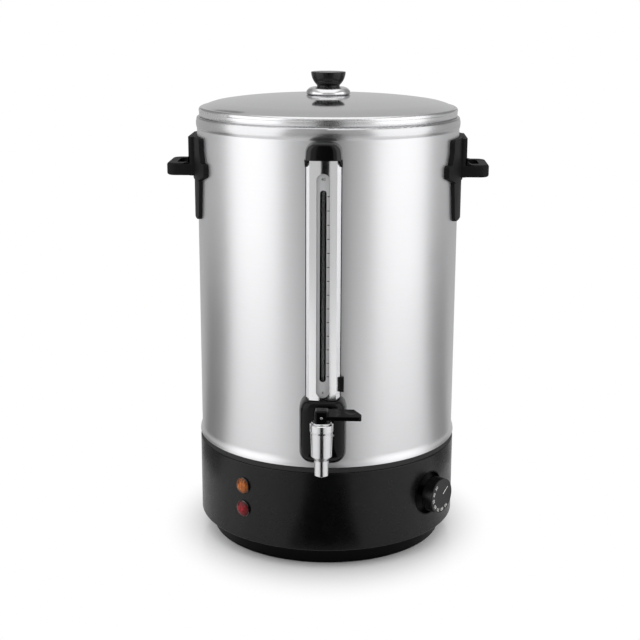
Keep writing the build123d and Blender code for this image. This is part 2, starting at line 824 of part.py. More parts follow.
head_back = inner_radius - 2.2
with BuildPart() as handle_screws:
    for side in (-90, 90):
        for spread in handle_sides:
            with BuildSketch(radial_plane(side + spread, handle_screw_height, head_back - 3)):
                Circle(handle_screw_head)
            extrude(amount=3)
            with BuildSketch(radial_plane(side + spread, handle_screw_height, head_back)):
                Circle(handle_screw_radius)
            extrude(amount=core_face - 3.5 - head_back)
    head_edges = handle_screws.edges().filter_by(GeomType.CIRCLE)
    chamfer(head_edges.filter_by(lambda edge: edge.radius > handle_screw_head - 0.1), 0.6)

with BuildPart() as handle_washers:
    for side in (-90, 90):
        for spread in handle_sides:
            with BuildSketch(radial_plane(side + spread, handle_screw_height, head_back)):
                Circle(handle_screw_head + 2.4)
                Circle(handle_screw_radius + fit, mode=Mode.SUBTRACT)
            extrude(amount=2)

# ---------------------------------------------------------------- level gauge
guard_heel = rail_face + guard_sheet / 2
with BuildPart() as gauge_guard:
    with BuildSketch(Plane.XY.offset(guard_bottom)):
        with BuildLine():
            Line((-guard_foot_half, -guard_heel), (-guard_corner_half, -guard_corner))
            ThreePointArc(
                (-guard_corner_half, -guard_corner),
                (0, -guard_front),
                (guard_corner_half, -guard_corner),
            )
            Line((guard_corner_half, -guard_corner), (guard_foot_half, -guard_heel))
            offset(amount=guard_sheet, side=Side.LEFT)
        make_face()
    extrude(amount=guard_top - guard_bottom)
    with BuildSketch(Plane.XZ.offset(guard_corner - 4)):
        with Locations((0, (window_bottom + window_top) / 2)):
            SlotOverall(window_top - window_bottom, window_width, rotation=90)
    extrude(amount=10, mode=Mode.SUBTRACT)

scale_face = guard_corner - 2 * guard_sheet - fit
with BuildPart() as gauge_scale_plate:
    with BuildSketch(Plane.XZ.offset(scale_face - plate_sheet)):
        with Locations((0, (guard_bottom + tube_top) / 2 - 4)):
            Rectangle(2 * guard_corner_half - 0.9, tube_top - guard_bottom - 12)
        with Locations((0, (slot_bottom + slot_top) / 2)):
            SlotOverall(slot_top - slot_bottom, slot_width, rotation=90, mode=Mode.SUBTRACT)
    extrude(amount=plate_sheet)

with BuildPart() as gauge_back_rail:
    with BuildSketch(Plane.XY.offset(guard_bottom)):
        with Locations((0, -rail_face)):
            Rectangle(2 * rail_half_width, rail_depth, align=(Align.CENTER, Align.MIN))
    extrude(amount=cap_ear_edge - guard_bottom)
    with BuildSketch(Plane.XY.offset(housing_top + 0.5)):
        with Locations((rail_half_width - 8, -rail_face)):
            Rectangle(12, rail_depth, align=(Align.MIN, Align.MIN))
    extrude(amount=rail_ear_height)
    with BuildSketch(Plane.XY.offset(guard_bottom)):
        Circle(drum_radius)
    extrude(amount=cap_top - guard_bottom, mode=Mode.SUBTRACT)

with BuildPart() as sight_tube:
    with BuildSketch(Plane.XY.offset(tube_bottom)):
        with Locations((0, -tube_reach)):
            Circle(tube_radius)
            Circle(tube_bore, mode=Mode.SUBTRACT)
    extrude(amount=tube_top - tube_bottom)

seal_radius = tube_radius + seal_wall
with BuildPart() as tube_bottom_seal:
    with BuildSketch(Plane.XY.offset(tube_bottom)):
        with Locations((0, -tube_reach)):
            Circle(seal_radius)
            Circle(tube_radius + fit, mode=Mode.SUBTRACT)
    extrude(amount=bottom_seal_height)

with BuildPart() as tube_top_seal:
    with BuildSketch(Plane.XY.offset(tube_top - top_seal_height)):
        with Locations((0, -tube_reach)):
            Circle(seal_radius)
            Circle(tube_radius + fit, mode=Mode.SUBTRACT)
    extrude(amount=top_seal_height)


def hood(width_grow, face, top):
    """The gauge cap's outer form, or the hollow inside it: a tapered hood with an arched top."""
    shoulder = cap_top - 20
    shoulder_half = guard_foot_half + width_grow - 0.4
    with BuildPart() as form:
        with BuildSketch(Plane.XY.offset(cap_ear_edge - 20)):
            with BuildLine():
                Polyline(
                    (-guard_corner_half - width_grow, -face + 1.8),
                    (-guard_foot_half - width_grow, -rail_face + 1),
                    (-guard_foot_half - width_grow, -drum_radius + 20),
                    (guard_foot_half + width_grow, -drum_radius + 20),
                    (guard_foot_half + width_grow, -rail_face + 1),
                    (guard_corner_half + width_grow, -face + 1.8),
                )
                ThreePointArc(
                    (guard_corner_half + width_grow, -face + 1.8),
                    (0, -face),
                    (-guard_corner_half - width_grow, -face + 1.8),
                )
            make_face()
        extrude(amount=top - cap_ear_edge + 20)
        with BuildSketch(Plane.XZ.offset(drum_radius - 20)):
            with BuildLine():
                Polyline(
                    (-shoulder_half, shoulder),
                    (-guard_foot_half - width_grow, cap_ear_edge - 20),
                    (guard_foot_half + width_grow, cap_ear_edge - 20),
                    (shoulder_half, shoulder),
                )
                Spline(
                    (shoulder_half, shoulder),
                    (guard_corner_half - 4, top - 3),
                    (0, top),
                    (-guard_corner_half + 4, top - 3),
                    (-shoulder_half, shoulder),
                    tangents=[(-0.15, 1), (-0.15, -1)],
                )
            make_face()
        extrude(amount=60, mode=Mode.INTERSECT)
    return form.part


cap_face = guard_front + cap_grow
with BuildPart() as gauge_cap:
    add(hood(cap_grow, cap_face, cap_top))
    add(hood(cap_grow - cap_wall, cap_face - cap_wall, cap_top - cap_roof), mode=Mode.SUBTRACT)
    # bosses for the tube's seal and for the screw
    with BuildSketch(Plane.XY.offset(tube_top - top_seal_height)):
        with Locations((0, -tube_reach)):
            Circle(seal_radius + 2)
    extrude(amount=cap_top - 5 - tube_top + top_seal_height)
    with BuildSketch(radial_plane(0, cap_screw_height, drum_radius)):
        Rectangle(10, 2 * (cap_top - 5 - cap_screw_height))
    extrude(amount=cap_face - 1 - drum_radius)
    with BuildSketch(Plane.XY.offset(tube_top - top_seal_height)):
        with Locations((0, -tube_reach)):
            Circle(seal_radius + fit)
    extrude(amount=top_seal_height + fit, mode=Mode.SUBTRACT)
    with BuildSketch(radial_plane(0, cap_screw_height, drum_radius - 5)):
        Circle(2 + fit)
    extrude(amount=20, mode=Mode.SUBTRACT)
    # the lower edge: short in front, with an ear on each side
    with BuildSketch(Plane.YZ.offset(-2 * rail_half_width)):
        Polygon(
            (-drum_radius + 30, cap_ear_edge),
            (-rail_face - 8, cap_ear_edge),
            (-rail_face - 14, cap_front_edge),
            (-cap_face - 5, cap_front_edge),
            (-cap_face - 5, cap_ear_edge - 30),
            (-drum_radius + 30, cap_ear_edge - 30),
            align=None,
        )
    extrude(amount=4 * rail_half_width, mode=Mode.SUBTRACT)
    with BuildSketch(Plane.XY.offset(cap_ear_edge - 30)):
        Circle(drum_radius)
    extrude(amount=drum_top - cap_ear_edge + 30, mode=Mode.SUBTRACT)

cap_screw_face = inner_radius - 0.1
with BuildPart() as gauge_cap_screw:
    with BuildSketch(radial_plane(0, cap_screw_height, cap_screw_face - 2.6)):
        Circle(4)
    extrude(amount=2.6)
    chamfer(gauge_cap_screw.edges().group_by(outward(0))[0], 0.6)
    with BuildSketch(radial_plane(0, cap_screw_height, cap_screw_face)):
        Circle(2)
    extrude(amount=14)

# ---------------------------------------------------------------- tap housing
housing_shelf = guard_bottom - 0.3


def casing(inset):
    """The tap housing's outer form, or the hollow inside it: front outline, plan and side profile crossed."""
    face = housing_face - inset
    bottom = housing_bottom + inset
    shelf = housing_shelf - inset
    half = housing_half_width - inset
    flat = housing_half_width - housing_shoulder_width
    shoulder = housing_shelf - housing_shoulder_height
    back = drum_radius - 20
    with BuildPart() as form:
        with BuildSketch(Plane.XZ.offset(back)):
            with BuildLine():
                Polyline((0, shelf), (0, bottom), (half, bottom), (half, shoulder))
                EllipticalCenterArc((flat, shoulder), half - flat, shelf - shoulder, 0, arc_size=90)
                Line((flat, shelf), (0, shelf))
            make_face()
            fillet(vertices().group_by(Axis.Y)[0].sort_by(Axis.X)[-1], housing_corner - inset)
            mirror(about=Plane.YZ)
        extrude(amount=face - back)
        with BuildSketch(Plane.XY.offset(housing_bottom)):
            with Locations((0, -(face + back) / 2)):
                Rectangle(2 * (housing_half_width - inset), face - back)
            fillet(vertices().group_by(Axis.Y)[0], housing_edge_round - inset)
        extrude(amount=housing_height, mode=Mode.INTERSECT)
        with BuildSketch(Plane.YZ.offset(-housing_half_width)):
            with BuildLine():
                Line((-back, bottom), (-face + toe_depth, bottom))
                EllipticalCenterArc(
                    (-face + toe_depth, bottom + toe_rise), toe_depth, toe_rise, 180, arc_size=90
                )
                Line((-face, bottom + toe_rise), (-face, shelf - housing_round))
                RadiusArc(
                    (-face, shelf - housing_round), (-face + housing_round, shelf), housing_round
                )
                Polyline((-face + housing_round, shelf), (-back, shelf), (-back, bottom))
            make_face()
        extrude(amount=2 * housing_half_width, mode=Mode.INTERSECT)
    return form.part


with BuildPart() as tap_housing:
    add(casing(0))
    add(casing(housing_wall), mode=Mode.SUBTRACT)
    with BuildSketch(Plane.XY.offset(housing_bottom)):
        Circle(drum_radius)
    extrude(amount=housing_height, mode=Mode.SUBTRACT)
    with BuildSketch(Plane.XY.offset(housing_bottom)):
        Circle(drum_radius + flare_out / 2 - 0.3)
    extrude(amount=drum_bottom + flare_height - housing_bottom, mode=Mode.SUBTRACT)
    with BuildSketch(Plane.XZ.offset(drum_radius)):
        with Locations((0, shank_height)):
            Circle(shank_radius + fit)
    extrude(amount=40, mode=Mode.SUBTRACT)
    with BuildSketch(Plane.XY.offset(housing_shelf - housing_wall - 2)):
        with Locations((0, -tube_reach)):
            Circle(tube_radius + 1)
    extrude(amount=20, mode=Mode.SUBTRACT)

# ---------------------------------------------------------------- tap
boss_face = housing_face + fit
tee_back = drum_radius + washer_sheet
nut_front = inner_radius - washer_sheet
nut_back = nut_front - nut_length

with BuildPart() as tap_shank:
    with BuildSketch(Plane.XZ.offset(nut_back - 4)):
        with Locations((0, shank_height)):
            Circle(shank_radius)
    extrude(amount=boss_face + 7 - nut_back + 4)
    chamfer(tap_shank.edges().group_by(Axis.Y)[-1], 0.8)
    with BuildSketch(Plane.XZ.offset(nut_back - 5)):
        with Locations((0, shank_height)):
            Circle(shank_bore)
    extrude(amount=tap_reach - nut_back, mode=Mode.SUBTRACT)
    with BuildSketch(Plane.XY.offset(shank_height)):
        with Locations((0, -tube_reach)):
            Circle(3.5)
    extrude(amount=20, mode=Mode.SUBTRACT)

with BuildPart() as tap_lock_nut:
    with BuildSketch(Plane.XZ.offset(nut_back)):
        with Locations((0, shank_height)):
            RegularPolygon(nut_flats / 2, 6, major_radius=False)
            Circle(shank_radius + fit, mode=Mode.SUBTRACT)
    extrude(amount=nut_length)

with BuildPart() as tap_washers:
    with BuildSketch(Plane.XZ.offset(nut_front)):
        with Locations((0, shank_height)):
            Circle(washer_radius)
            Circle(shank_radius + fit, mode=Mode.SUBTRACT)
    extrude(amount=tee_back - nut_front)
    with BuildSketch(Plane.XY.offset(shank_height - 20)):
        Circle(drum_radius)
        Circle(inner_radius, mode=Mode.SUBTRACT)
    extrude(amount=40, mode=Mode.SUBTRACT)

with BuildPart() as gauge_tee:
    with BuildSketch(Plane.XZ.offset(tee_back)):
        with Locations((0, shank_height)):
            Circle(shank_radius + tee_wall)
    extrude(amount=housing_face - housing_wall - fit - tee_back)
    with BuildSketch(Plane.XY.offset(shank_height)):
        with Locations((0, -tube_reach - 1.5)):
            Circle(seal_radius + 1.8)
    extrude(amount=tube_bottom + bottom_seal_height - shank_height)
    with BuildSketch(Plane.XZ.offset(tee_back)):
        with Locations((0, shank_height)):
            Rectangle(4 * seal_radius, 2 * housing_height)
    extrude(amount=-20, mode=Mode.SUBTRACT)
    with BuildSketch(Plane.XZ.offset(tee_back - 5)):
        with Locations((0, shank_height)):
            Circle(shank_radius + fit)
    extrude(amount=40, mode=Mode.SUBTRACT)
    with BuildSketch(Plane.XY.offset(shank_height)):
        with Locations((0, -tube_reach)):
            Circle(4)
    extrude(amount=40, mode=Mode.SUBTRACT)
    with BuildSketch(Plane.XY.offset(tube_bottom - fit)):
        with Locations((0, -tube_reach)):
            Circle(seal_radius + fit)
    extrude(amount=40, mode=Mode.SUBTRACT)

collar_bottom = tap_top - collar_height
spigot_radius = nozzle_radius - 1.1
spigot_top = tap_bottom + spigot_length
with BuildPart() as tap_body:
    with BuildSketch(tap_plane):
        Polygon(
            (0, tap_bottom),
            (body_bottom_radius - 3.4, tap_bottom),
            (body_bottom_radius, tap_bottom + 5.2),
            (body_top_radius, collar_bottom - 2),
            (collar_radius, collar_bottom),
            (collar_radius, tap_top - 1),
            (collar_radius - 1, tap_top),
            (0, tap_top),
            align=None,
        )
    revolve(axis=tap_axis)
    with BuildSketch(Plane.XZ.offset(boss_face)):
        with Locations((0, shank_height)):
            Circle(boss_radius)
    extrude(amount=tap_reach - boss_face)
    with BuildSketch(Plane.XZ.offset(boss_face)):
        with Locations((0, shank_height)):
            Circle(boss_radius + 2.8)
    extrude(amount=3)
    with BuildSketch(tap_plane):
        Polygon(
            (0, tap_bottom - 1),
            (spigot_radius + fit, tap_bottom - 1),
            (spigot_radius + fit, spigot_top),
            (nozzle_bore, spigot_top),
            (nozzle_bore, chamber_floor),
            (nozzle_bore + 1.4, chamber_floor),
            (nozzle_bore + 1.4, chamber_floor - 1),
            (chamber_radius, chamber_floor - 1),
            (chamber_radius, chamber_top),
            (bonnet_radius + running, chamber_top),
            (bonnet_radius + running, tap_top + 1),
            (0, tap_top + 1),
            align=None,
        )
    revolve(axis=tap_axis, mode=Mode.SUBTRACT)
    with BuildSketch(Plane.XZ.offset(boss_face - 5)):
        with Locations((0, shank_height)):
            Circle(shank_radius + fit)
    extrude(amount=12.5, mode=Mode.SUBTRACT)
    with BuildSketch(Plane.XZ.offset(boss_face)):
        with Locations((0, shank_height)):
            Circle(shank_bore)
    extrude(amount=tap_reach - boss_face, mode=Mode.SUBTRACT)
    with BuildSketch(Plane.YZ):
        with Locations((-tap_reach, chamber_top + 4)):
            Circle(1.5 + fit)
    extrude(amount=30, mode=Mode.SUBTRACT)

with BuildPart() as tap_nozzle:
    with BuildSketch(tap_plane):
        Polygon(
            (nozzle_bore, nozzle_bottom),
            (nozzle_radius - 0.8, nozzle_bottom),
            (nozzle_radius, nozzle_bottom + 0.8),
            (nozzle_radius, tap_bottom - fit),
            (spigot_radius, tap_bottom - fit),
            (spigot_radius, spigot_top - fit),
            (nozzle_bore, spigot_top - fit),
            align=None,
        )
    revolve(axis=tap_axis)

with BuildPart() as bonnet_set_screw:
    with BuildSketch(Plane.YZ.offset(bonnet_radius - 0.3)):
        with Locations((-tap_reach, chamber_top + 4)):
            Circle(1.5)
    extrude(amount=collar_radius - bonnet_radius + 1.2)
    with BuildSketch(Plane.YZ.offset(collar_radius + 0.9)):
        with Locations((-tap_reach, chamber_top + 4)):
            Rectangle(4, 0.5)
    extrude(amount=-0.6, mode=Mode.SUBTRACT)

bonnet_top = tap_top + bonnet_rise
with BuildPart() as tap_bonnet:
    with BuildSketch(tap_plane):
        Polygon(
            (stem_radius + running, bonnet_top),
            (bonnet_radius + 0.7, bonnet_top),
            (bonnet_radius + 1.3, bonnet_top - 0.6),
            (bonnet_radius + 1.3, tap_top + rest_gap),
            (bonnet_radius, tap_top + rest_gap),
            (bonnet_radius, chamber_top + 6),
            (bonnet_radius - 0.8, chamber_top + 6),
            (bonnet_radius - 0.8, chamber_top + 2),
            (bonnet_radius, chamber_top + 2),
            (bonnet_radius, chamber_top + rest_gap),
            (bonnet_radius - 2.4, chamber_top + rest_gap),
            (bonnet_radius - 2.4, bonnet_top - 4.5),
            (stem_radius + running, bonnet_top - 4.5),
            align=None,
        )
    revolve(axis=tap_axis)

cup_bottom = chamber_floor + rest_gap
cup_top = cup_bottom + cup_height
with BuildPart() as seat_cup:
    with BuildSketch(tap_plane):
        Polygon(
            (0, cup_bottom),
            (cup_radius - 0.6, cup_bottom),
            (cup_radius, cup_bottom + 0.6),
            (cup_radius, cup_top),
            (stem_radius + fit, cup_top),
            (stem_radius + fit, cup_bottom + 2),
            (0, cup_bottom + 2),
            align=None,
        )
    revolve(axis=tap_axis)

with BuildPart() as tap_stem:
    with BuildSketch(tap_plane):
        Polygon(
            (0, cup_bottom + 2 + fit),
            (stem_radius, cup_bottom + 2 + fit),
            (stem_radius, cup_top + fit),
            (cup_radius - 1, cup_top + fit),
            (cup_radius - 1, cup_top + 1),
            (stem_radius, cup_top + 1),
            (stem_radius, pin_height),
            (0, pin_height),
            align=None,
        )
    revolve(axis=tap_axis)
    with BuildSketch(Plane.XZ.offset(tap_reach - eye_thickness / 2)):
        with Locations((0, pin_height)):
            Circle(eye_radius)
    extrude(amount=eye_thickness)
    with BuildSketch(Plane.XZ.offset(tap_reach - 10)):
        with Locations((0, pin_height)):
            Circle(pin_radius + running)
    extrude(amount=20, mode=Mode.SUBTRACT)

spring_bottom = cup_top + 1 + spring_wire + fit
spring_top = bonnet_top - 4.5 - spring_wire - fit
with BuildPart() as tap_spring:
    with BuildLine() as coil:
        Helix(
            (spring_top - spring_bottom) / 5,
            spring_top - spring_bottom,
            spring_radius,
            center=(0, -tap_reach, spring_bottom),
        )
    with BuildSketch(Plane(origin=coil.line @ 0, z_dir=coil.line % 0)):
        Circle(spring_wire)
    sweep(path=coil.line, is_frenet=True)

hub_bottom = bonnet_top + rest_gap
lever_front = tap_reach + hub_depth / 2
lever_back = lever_front - lever_depth
lever_bottom = hub_bottom + lever_drop
with BuildPart() as tap_lever:
    with BuildSketch(Plane.XY.offset(hub_bottom)):
        with Locations((0, -tap_reach)):
            RectangleRounded(2 * hub_half, hub_depth, 3)
    extrude(amount=hub_top - hub_bottom)
    fillet(tap_lever.faces().sort_by(Axis.Z)[-1].edges(), 2.5)
    # the arm: a plate that rises towards the back, its end cut slantwise
    with BuildSketch(Plane.XY.offset(hub_bottom)):
        Polygon(
            (0, -lever_front),
            (lever_length, -lever_front),
            (lever_length, -lever_front + 6),
            (lever_length - 10, -lever_back),
            (0, -lever_back),
            align=None,
        )
        fillet(vertices().group_by(Axis.X)[-1], 3)
    arm = extrude(amount=20, mode=Mode.PRIVATE)
    with BuildSketch(Plane.YZ):
        Polygon(
            (-lever_front, lever_bottom),
            (-lever_back, lever_bottom + lever_rise),
            (-lever_back, lever_bottom + lever_rise + lever_thickness),
            (-lever_front, lever_bottom + lever_thickness),
            align=None,
        )
        fillet(vertices(), 1.2)
    blade = extrude(amount=lever_length + 1, mode=Mode.PRIVATE)
    add(arm & blade)
    with Locations((lever_length - 13, -tap_reach - 1, lever_bottom + lever_thickness + 37.2)):
        Sphere(36, mode=Mode.SUBTRACT)
    with BuildSketch(Plane.XZ.offset(tap_reach - eye_thickness / 2 - 0.1)):
        with Locations((0, (hub_bottom + pin_height + eye_radius) / 2)):
            Rectangle(2 * hub_half - 3.5, pin_height + eye_radius - hub_bottom + 1)
    extrude(amount=eye_thickness + 0.2, mode=Mode.SUBTRACT)
    with BuildSketch(Plane.XZ.offset(tap_reach - 20)):
        with Locations((0, pin_height)):
            Circle(pin_radius + fit)
    extrude(amount=40, mode=Mode.SUBTRACT)

with BuildPart() as lever_pin:
    with BuildSketch(Plane.XZ.offset(tap_reach - hub_depth / 2 + 0.4)):
        with Locations((0, pin_height)):
            Circle(pin_radius)
    extrude(amount=hub_depth)
    chamfer(lever_pin.edges().filter_by(GeomType.CIRCLE), 0.3)

# ---------------------------------------------------------------- lid
lid_rest = drum_top + rest_gap
lid_crease = lid_rest + lid_bead - 0.3
lid_flange = mouth_radius - rest_gap


dome_mid = 0.58 * lid_crease_radius
dome_edge = 0.874 * lid_crease_radius


def dome_height(radius):
    """Height of the lid's upper face in its flat middle."""
    return lid_crease + lid_dome * (1 - 0.2 * (radius / dome_mid) ** 2)


with BuildPart() as lid_shell:
    with BuildSketch(Plane.XZ):
        with BuildLine():
            crown = TangentArc(
                (knob_screw_radius + fit, dome_height(0)), (dome_mid, dome_height(dome_mid)), tangent=(1, 0)
            )
            slope = TangentArc(
                crown @ 1, (dome_edge, lid_crease + 0.445 * lid_dome), tangent=crown % 1
            )
            TangentArc(slope @ 1, (lid_crease_radius, lid_crease), tangent=slope % 1)
            ThreePointArc(
                (lid_crease_radius, lid_crease),
                (lid_radius - 1.2, lid_crease - 1.1),
                (lid_radius, lid_rest + lid_bead / 2),
            )
            ThreePointArc(
                (lid_radius, lid_rest + lid_bead / 2),
                (lid_radius - 0.15, lid_rest + lid_bead / 4),
                (lid_radius - 0.9, lid_rest),
            )
            Polyline(
                (lid_radius - 0.9, lid_rest), (lid_flange, lid_rest), (lid_flange, lid_rest - lid_skirt)
            )
            offset(amount=lid_sheet, side=Side.RIGHT)
        make_face()
    revolve(axis=Axis.Z)

plate_top = dome_height(0) + knob_plate_rise
plate_rim = dome_height(knob_plate_radius) + knob_plate_lip
with BuildPart() as lid_knob_plate:
    with BuildSketch(Plane.XZ):
        with BuildLine():
            Line((knob_screw_radius + fit, plate_top), (knob_neck_radius + 4, plate_top))
            ThreePointArc(
                (knob_neck_radius + 4, plate_top),
                (knob_plate_radius - 3, plate_top - 2.7),
                (knob_plate_radius, plate_rim),
            )
            ThreePointArc(
                (knob_plate_radius, plate_rim),
                (knob_plate_radius - 0.8, plate_rim - 1.7),
                (knob_plate_radius - 2.6, plate_rim - knob_plate_lip + 0.2),
            )
            offset(amount=lid_sheet, side=Side.RIGHT)
        make_face()
    revolve(axis=Axis.Z)

knob_bottom = plate_top + fit
knob_top = knob_bottom + knob_height
neck_top = knob_bottom + knob_neck_height
with BuildPart() as lid_knob:
    with BuildSketch(Plane.XZ):
        with BuildLine():
            Polyline(
                (0, knob_top), (0, knob_bottom), (knob_neck_radius, knob_bottom), (knob_neck_radius, neck_top)
            )
            ThreePointArc(
                (knob_neck_radius, neck_top),
                (knob_top_radius - 1.9, (neck_top + knob_top) / 2),
                (knob_top_radius, knob_top),
            )
            Line((knob_top_radius, knob_top), (0, knob_top))
        make_face()
        fillet(vertices().group_by(Axis.X)[-1], knob_edge_round)
    revolve(axis=Axis.Z)
    with BuildSketch(Plane.XY.offset(knob_bottom)):
        Circle(knob_screw_radius + fit)
    extrude(amount=knob_screw_depth + 1, mode=Mode.SUBTRACT)

screw_face = dome_height(5) - lid_sheet - 0.1
with BuildPart() as lid_knob_screw:
    with BuildSketch(Plane.XY.offset(screw_face - 3)):
        Circle(knob_screw_head)
    extrude(amount=3)
    chamfer(lid_knob_screw.edges().group_by(Axis.Z)[0], 0.8)
    with BuildSketch(Plane.XY.offset(screw_face)):
        Circle(knob_screw_radius)
    extrude(amount=knob_bottom + knob_screw_depth - screw_face)

# ---------------------------------------------------------------- export
os.makedirs("parts", exist_ok=True)
pieces = {
    "drum_shell": drum_shell,
    "drum_floor": drum_floor,
    "base_seal_ring": base_seal_ring,
    "base_housing": base_housing,
    "bottom_cover": bottom_cover,
    "base_pillars": base_pillars,
    "bottom_cover_screws": bottom_cover_screws,
    "foot_ring": foot_ring,
    "foot_tread": foot_tread,
    "heat_plate": heat_plate,
    "heating_element": heating_element,
    "element_terminals": element_terminals,
    "thermostat_bulb": thermostat_bulb,
    "bulb_clip": bulb_clip,
    "boil_dry_cutout": boil_dry_cutout,
    "dial_recess": dial_recess,
    "thermostat_body": thermostat_body,
    "thermostat_shaft": thermostat_shaft,
    "thermostat_knob": thermostat_knob,
    "lamp_bezels": lamp_bezels,
    "amber_lens": amber_lens,
    "red_lens": red_lens,
    "lamp_bodies": lamp_bodies,
    "cord_gland": cord_gland,
    "gland_nut": gland_nut,
    "terminal_block": terminal_block,
    "wiring_loom": wiring_loom,
    "handle_right": handle_right,
    "handle_left": handle_left,
    "handle_screws": handle_screws,
    "handle_washers": handle_washers,
    "gauge_guard": gauge_guard,
    "gauge_scale_plate": gauge_scale_plate,
    "gauge_back_rail": gauge_back_rail,
    "sight_tube": sight_tube,
    "tube_bottom_seal": tube_bottom_seal,
    "tube_top_seal": tube_top_seal,
    "gauge_cap": gauge_cap,
    "gauge_cap_screw": gauge_cap_screw,
    "capillary_tube": capillary_tube,
    "tap_housing": tap_housing,
    "tap_shank": tap_shank,
    "tap_lock_nut": tap_lock_nut,
    "tap_washers": tap_washers,
    "gauge_tee": gauge_tee,
    "tap_body": tap_body,
    "tap_nozzle": tap_nozzle,
    "bonnet_set_screw": bonnet_set_screw,
    "tap_bonnet": tap_bonnet,
    "seat_cup": seat_cup,
    "tap_stem": tap_stem,
    "tap_spring": tap_spring,
    "tap_lever": tap_lever,
    "lever_pin": lever_pin,
    "lid_shell": lid_shell,
    "lid_knob_plate": lid_knob_plate,
    "lid_knob": lid_knob,
    "lid_knob_screw": lid_knob_screw,
}
for name, piece in pieces.items():
    piece.part.label = name
    export_step(piece.part, f"parts/{name}.step")
print(len(pieces), "pieces")
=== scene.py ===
# %% [markdown]
# # A hot water urn, dressed and lit
#
# The urn's solid pieces come from the CAD frame, each already in its place. This script gives them
# their real finishes and adds what CAD leaves out: softer edges on two mouldings, a spring coil,
# domed lamp lenses, printed figures and a weld seam. Then it sets the studio, with a glossy
# white table, three softboxes, a few cards for the reflections and a long lens.

import json
from math import atan2, cos, hypot, pi, radians, sin

import bpy
from mathutils import Matrix, Vector


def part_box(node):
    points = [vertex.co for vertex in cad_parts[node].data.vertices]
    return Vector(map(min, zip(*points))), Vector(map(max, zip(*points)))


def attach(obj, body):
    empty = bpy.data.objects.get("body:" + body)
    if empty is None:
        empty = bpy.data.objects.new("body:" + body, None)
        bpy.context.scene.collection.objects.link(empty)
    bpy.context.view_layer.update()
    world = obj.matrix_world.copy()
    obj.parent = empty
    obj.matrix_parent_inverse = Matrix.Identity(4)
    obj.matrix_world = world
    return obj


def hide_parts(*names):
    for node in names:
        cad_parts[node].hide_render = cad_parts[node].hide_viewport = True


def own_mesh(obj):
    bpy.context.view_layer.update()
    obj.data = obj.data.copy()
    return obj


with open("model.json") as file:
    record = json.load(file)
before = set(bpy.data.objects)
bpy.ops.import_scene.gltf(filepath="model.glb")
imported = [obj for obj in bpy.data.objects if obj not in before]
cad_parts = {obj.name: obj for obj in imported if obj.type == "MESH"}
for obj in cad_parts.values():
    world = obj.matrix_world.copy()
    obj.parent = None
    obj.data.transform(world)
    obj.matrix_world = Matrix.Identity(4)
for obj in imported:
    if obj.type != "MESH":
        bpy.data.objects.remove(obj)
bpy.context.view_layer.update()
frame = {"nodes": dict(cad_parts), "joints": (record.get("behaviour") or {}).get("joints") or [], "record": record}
nodes = frame["nodes"]
joints = {joint["name"]: joint for joint in frame["joints"]}
scene = bpy.context.scene
print(len(nodes), "nodes, with the joints", ", ".join(joints))

# %% [markdown]
# ## Sizes that the frame gives
#
# Marks and trims sit on pieces that exist already, so their places are read from those pieces
# rather than typed in: they stay right when a size changes. A box gives a flat face and a radius.
# The back corners of the tap's housing lie on the drum, so their distance from the axis is its radius.

# %% Sizes
MM = 0.001
HOUSING_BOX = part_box("tap_housing")
BASE_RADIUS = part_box("base_housing")[1][0]
DRUM_RADIUS = hypot(HOUSING_BOX[1][0], HOUSING_BOX[1][1])
SCALE_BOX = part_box("gauge_scale_plate")
SCALE_FACE = -SCALE_BOX[0][1]
print("radius of base", round(BASE_RADIUS / MM, 1), "and drum", round(DRUM_RADIUS / MM, 1), "mm")
print("scale plate face at", round(SCALE_FACE / MM, 2), "mm in front of the axis")

# %% [markdown]
# ## A way to stand things on the urn's side
#
# The dial and the lamps face outwards at different places round the base. A matrix whose Z points
# out of the urn lets each of them be drawn flat, as on paper, and then stood in its place. Azimuths
# are measured from the tap, at the front, towards the right.


# %% Places round the urn
def outward_frame(azimuth, height, distance):
    """A matrix whose X is to the right, Y up and Z out of the urn, at a place round the drum."""
    right = Vector((cos(azimuth), sin(azimuth), 0))
    out = Vector((sin(azimuth), -cos(azimuth), 0))
    up = Vector((0, 0, 1))
    turn = Matrix((right, up, out)).transposed().to_4x4()
    return Matrix.Translation(out * distance + up * height) @ turn


def reach_outward(node, azimuth):
    """How far a piece reaches from the urn's axis towards an azimuth."""
    out = Vector((sin(azimuth), -cos(azimuth), 0))
    piece = nodes[node]
    return max((piece.matrix_world @ vertex.co).dot(out) for vertex in piece.data.vertices)


print("the base reaches", round(reach_outward("base_housing", 0) / MM, 1), "mm to the front")

# %% [markdown]
# ## A surface, step by step
#
# A real surface is never one flat colour. Its shine and tone wander, and it has fine relief. Image
# textures could show that, but they need files and stretch over curves. Noise in object space needs
# neither, so every finish here starts as a plain principled shader, and noise then drives its
# roughness, its colour and a small bump. The class keeps that wiring in one place.

# %% Finish class
MICRON = 0.001 * MM


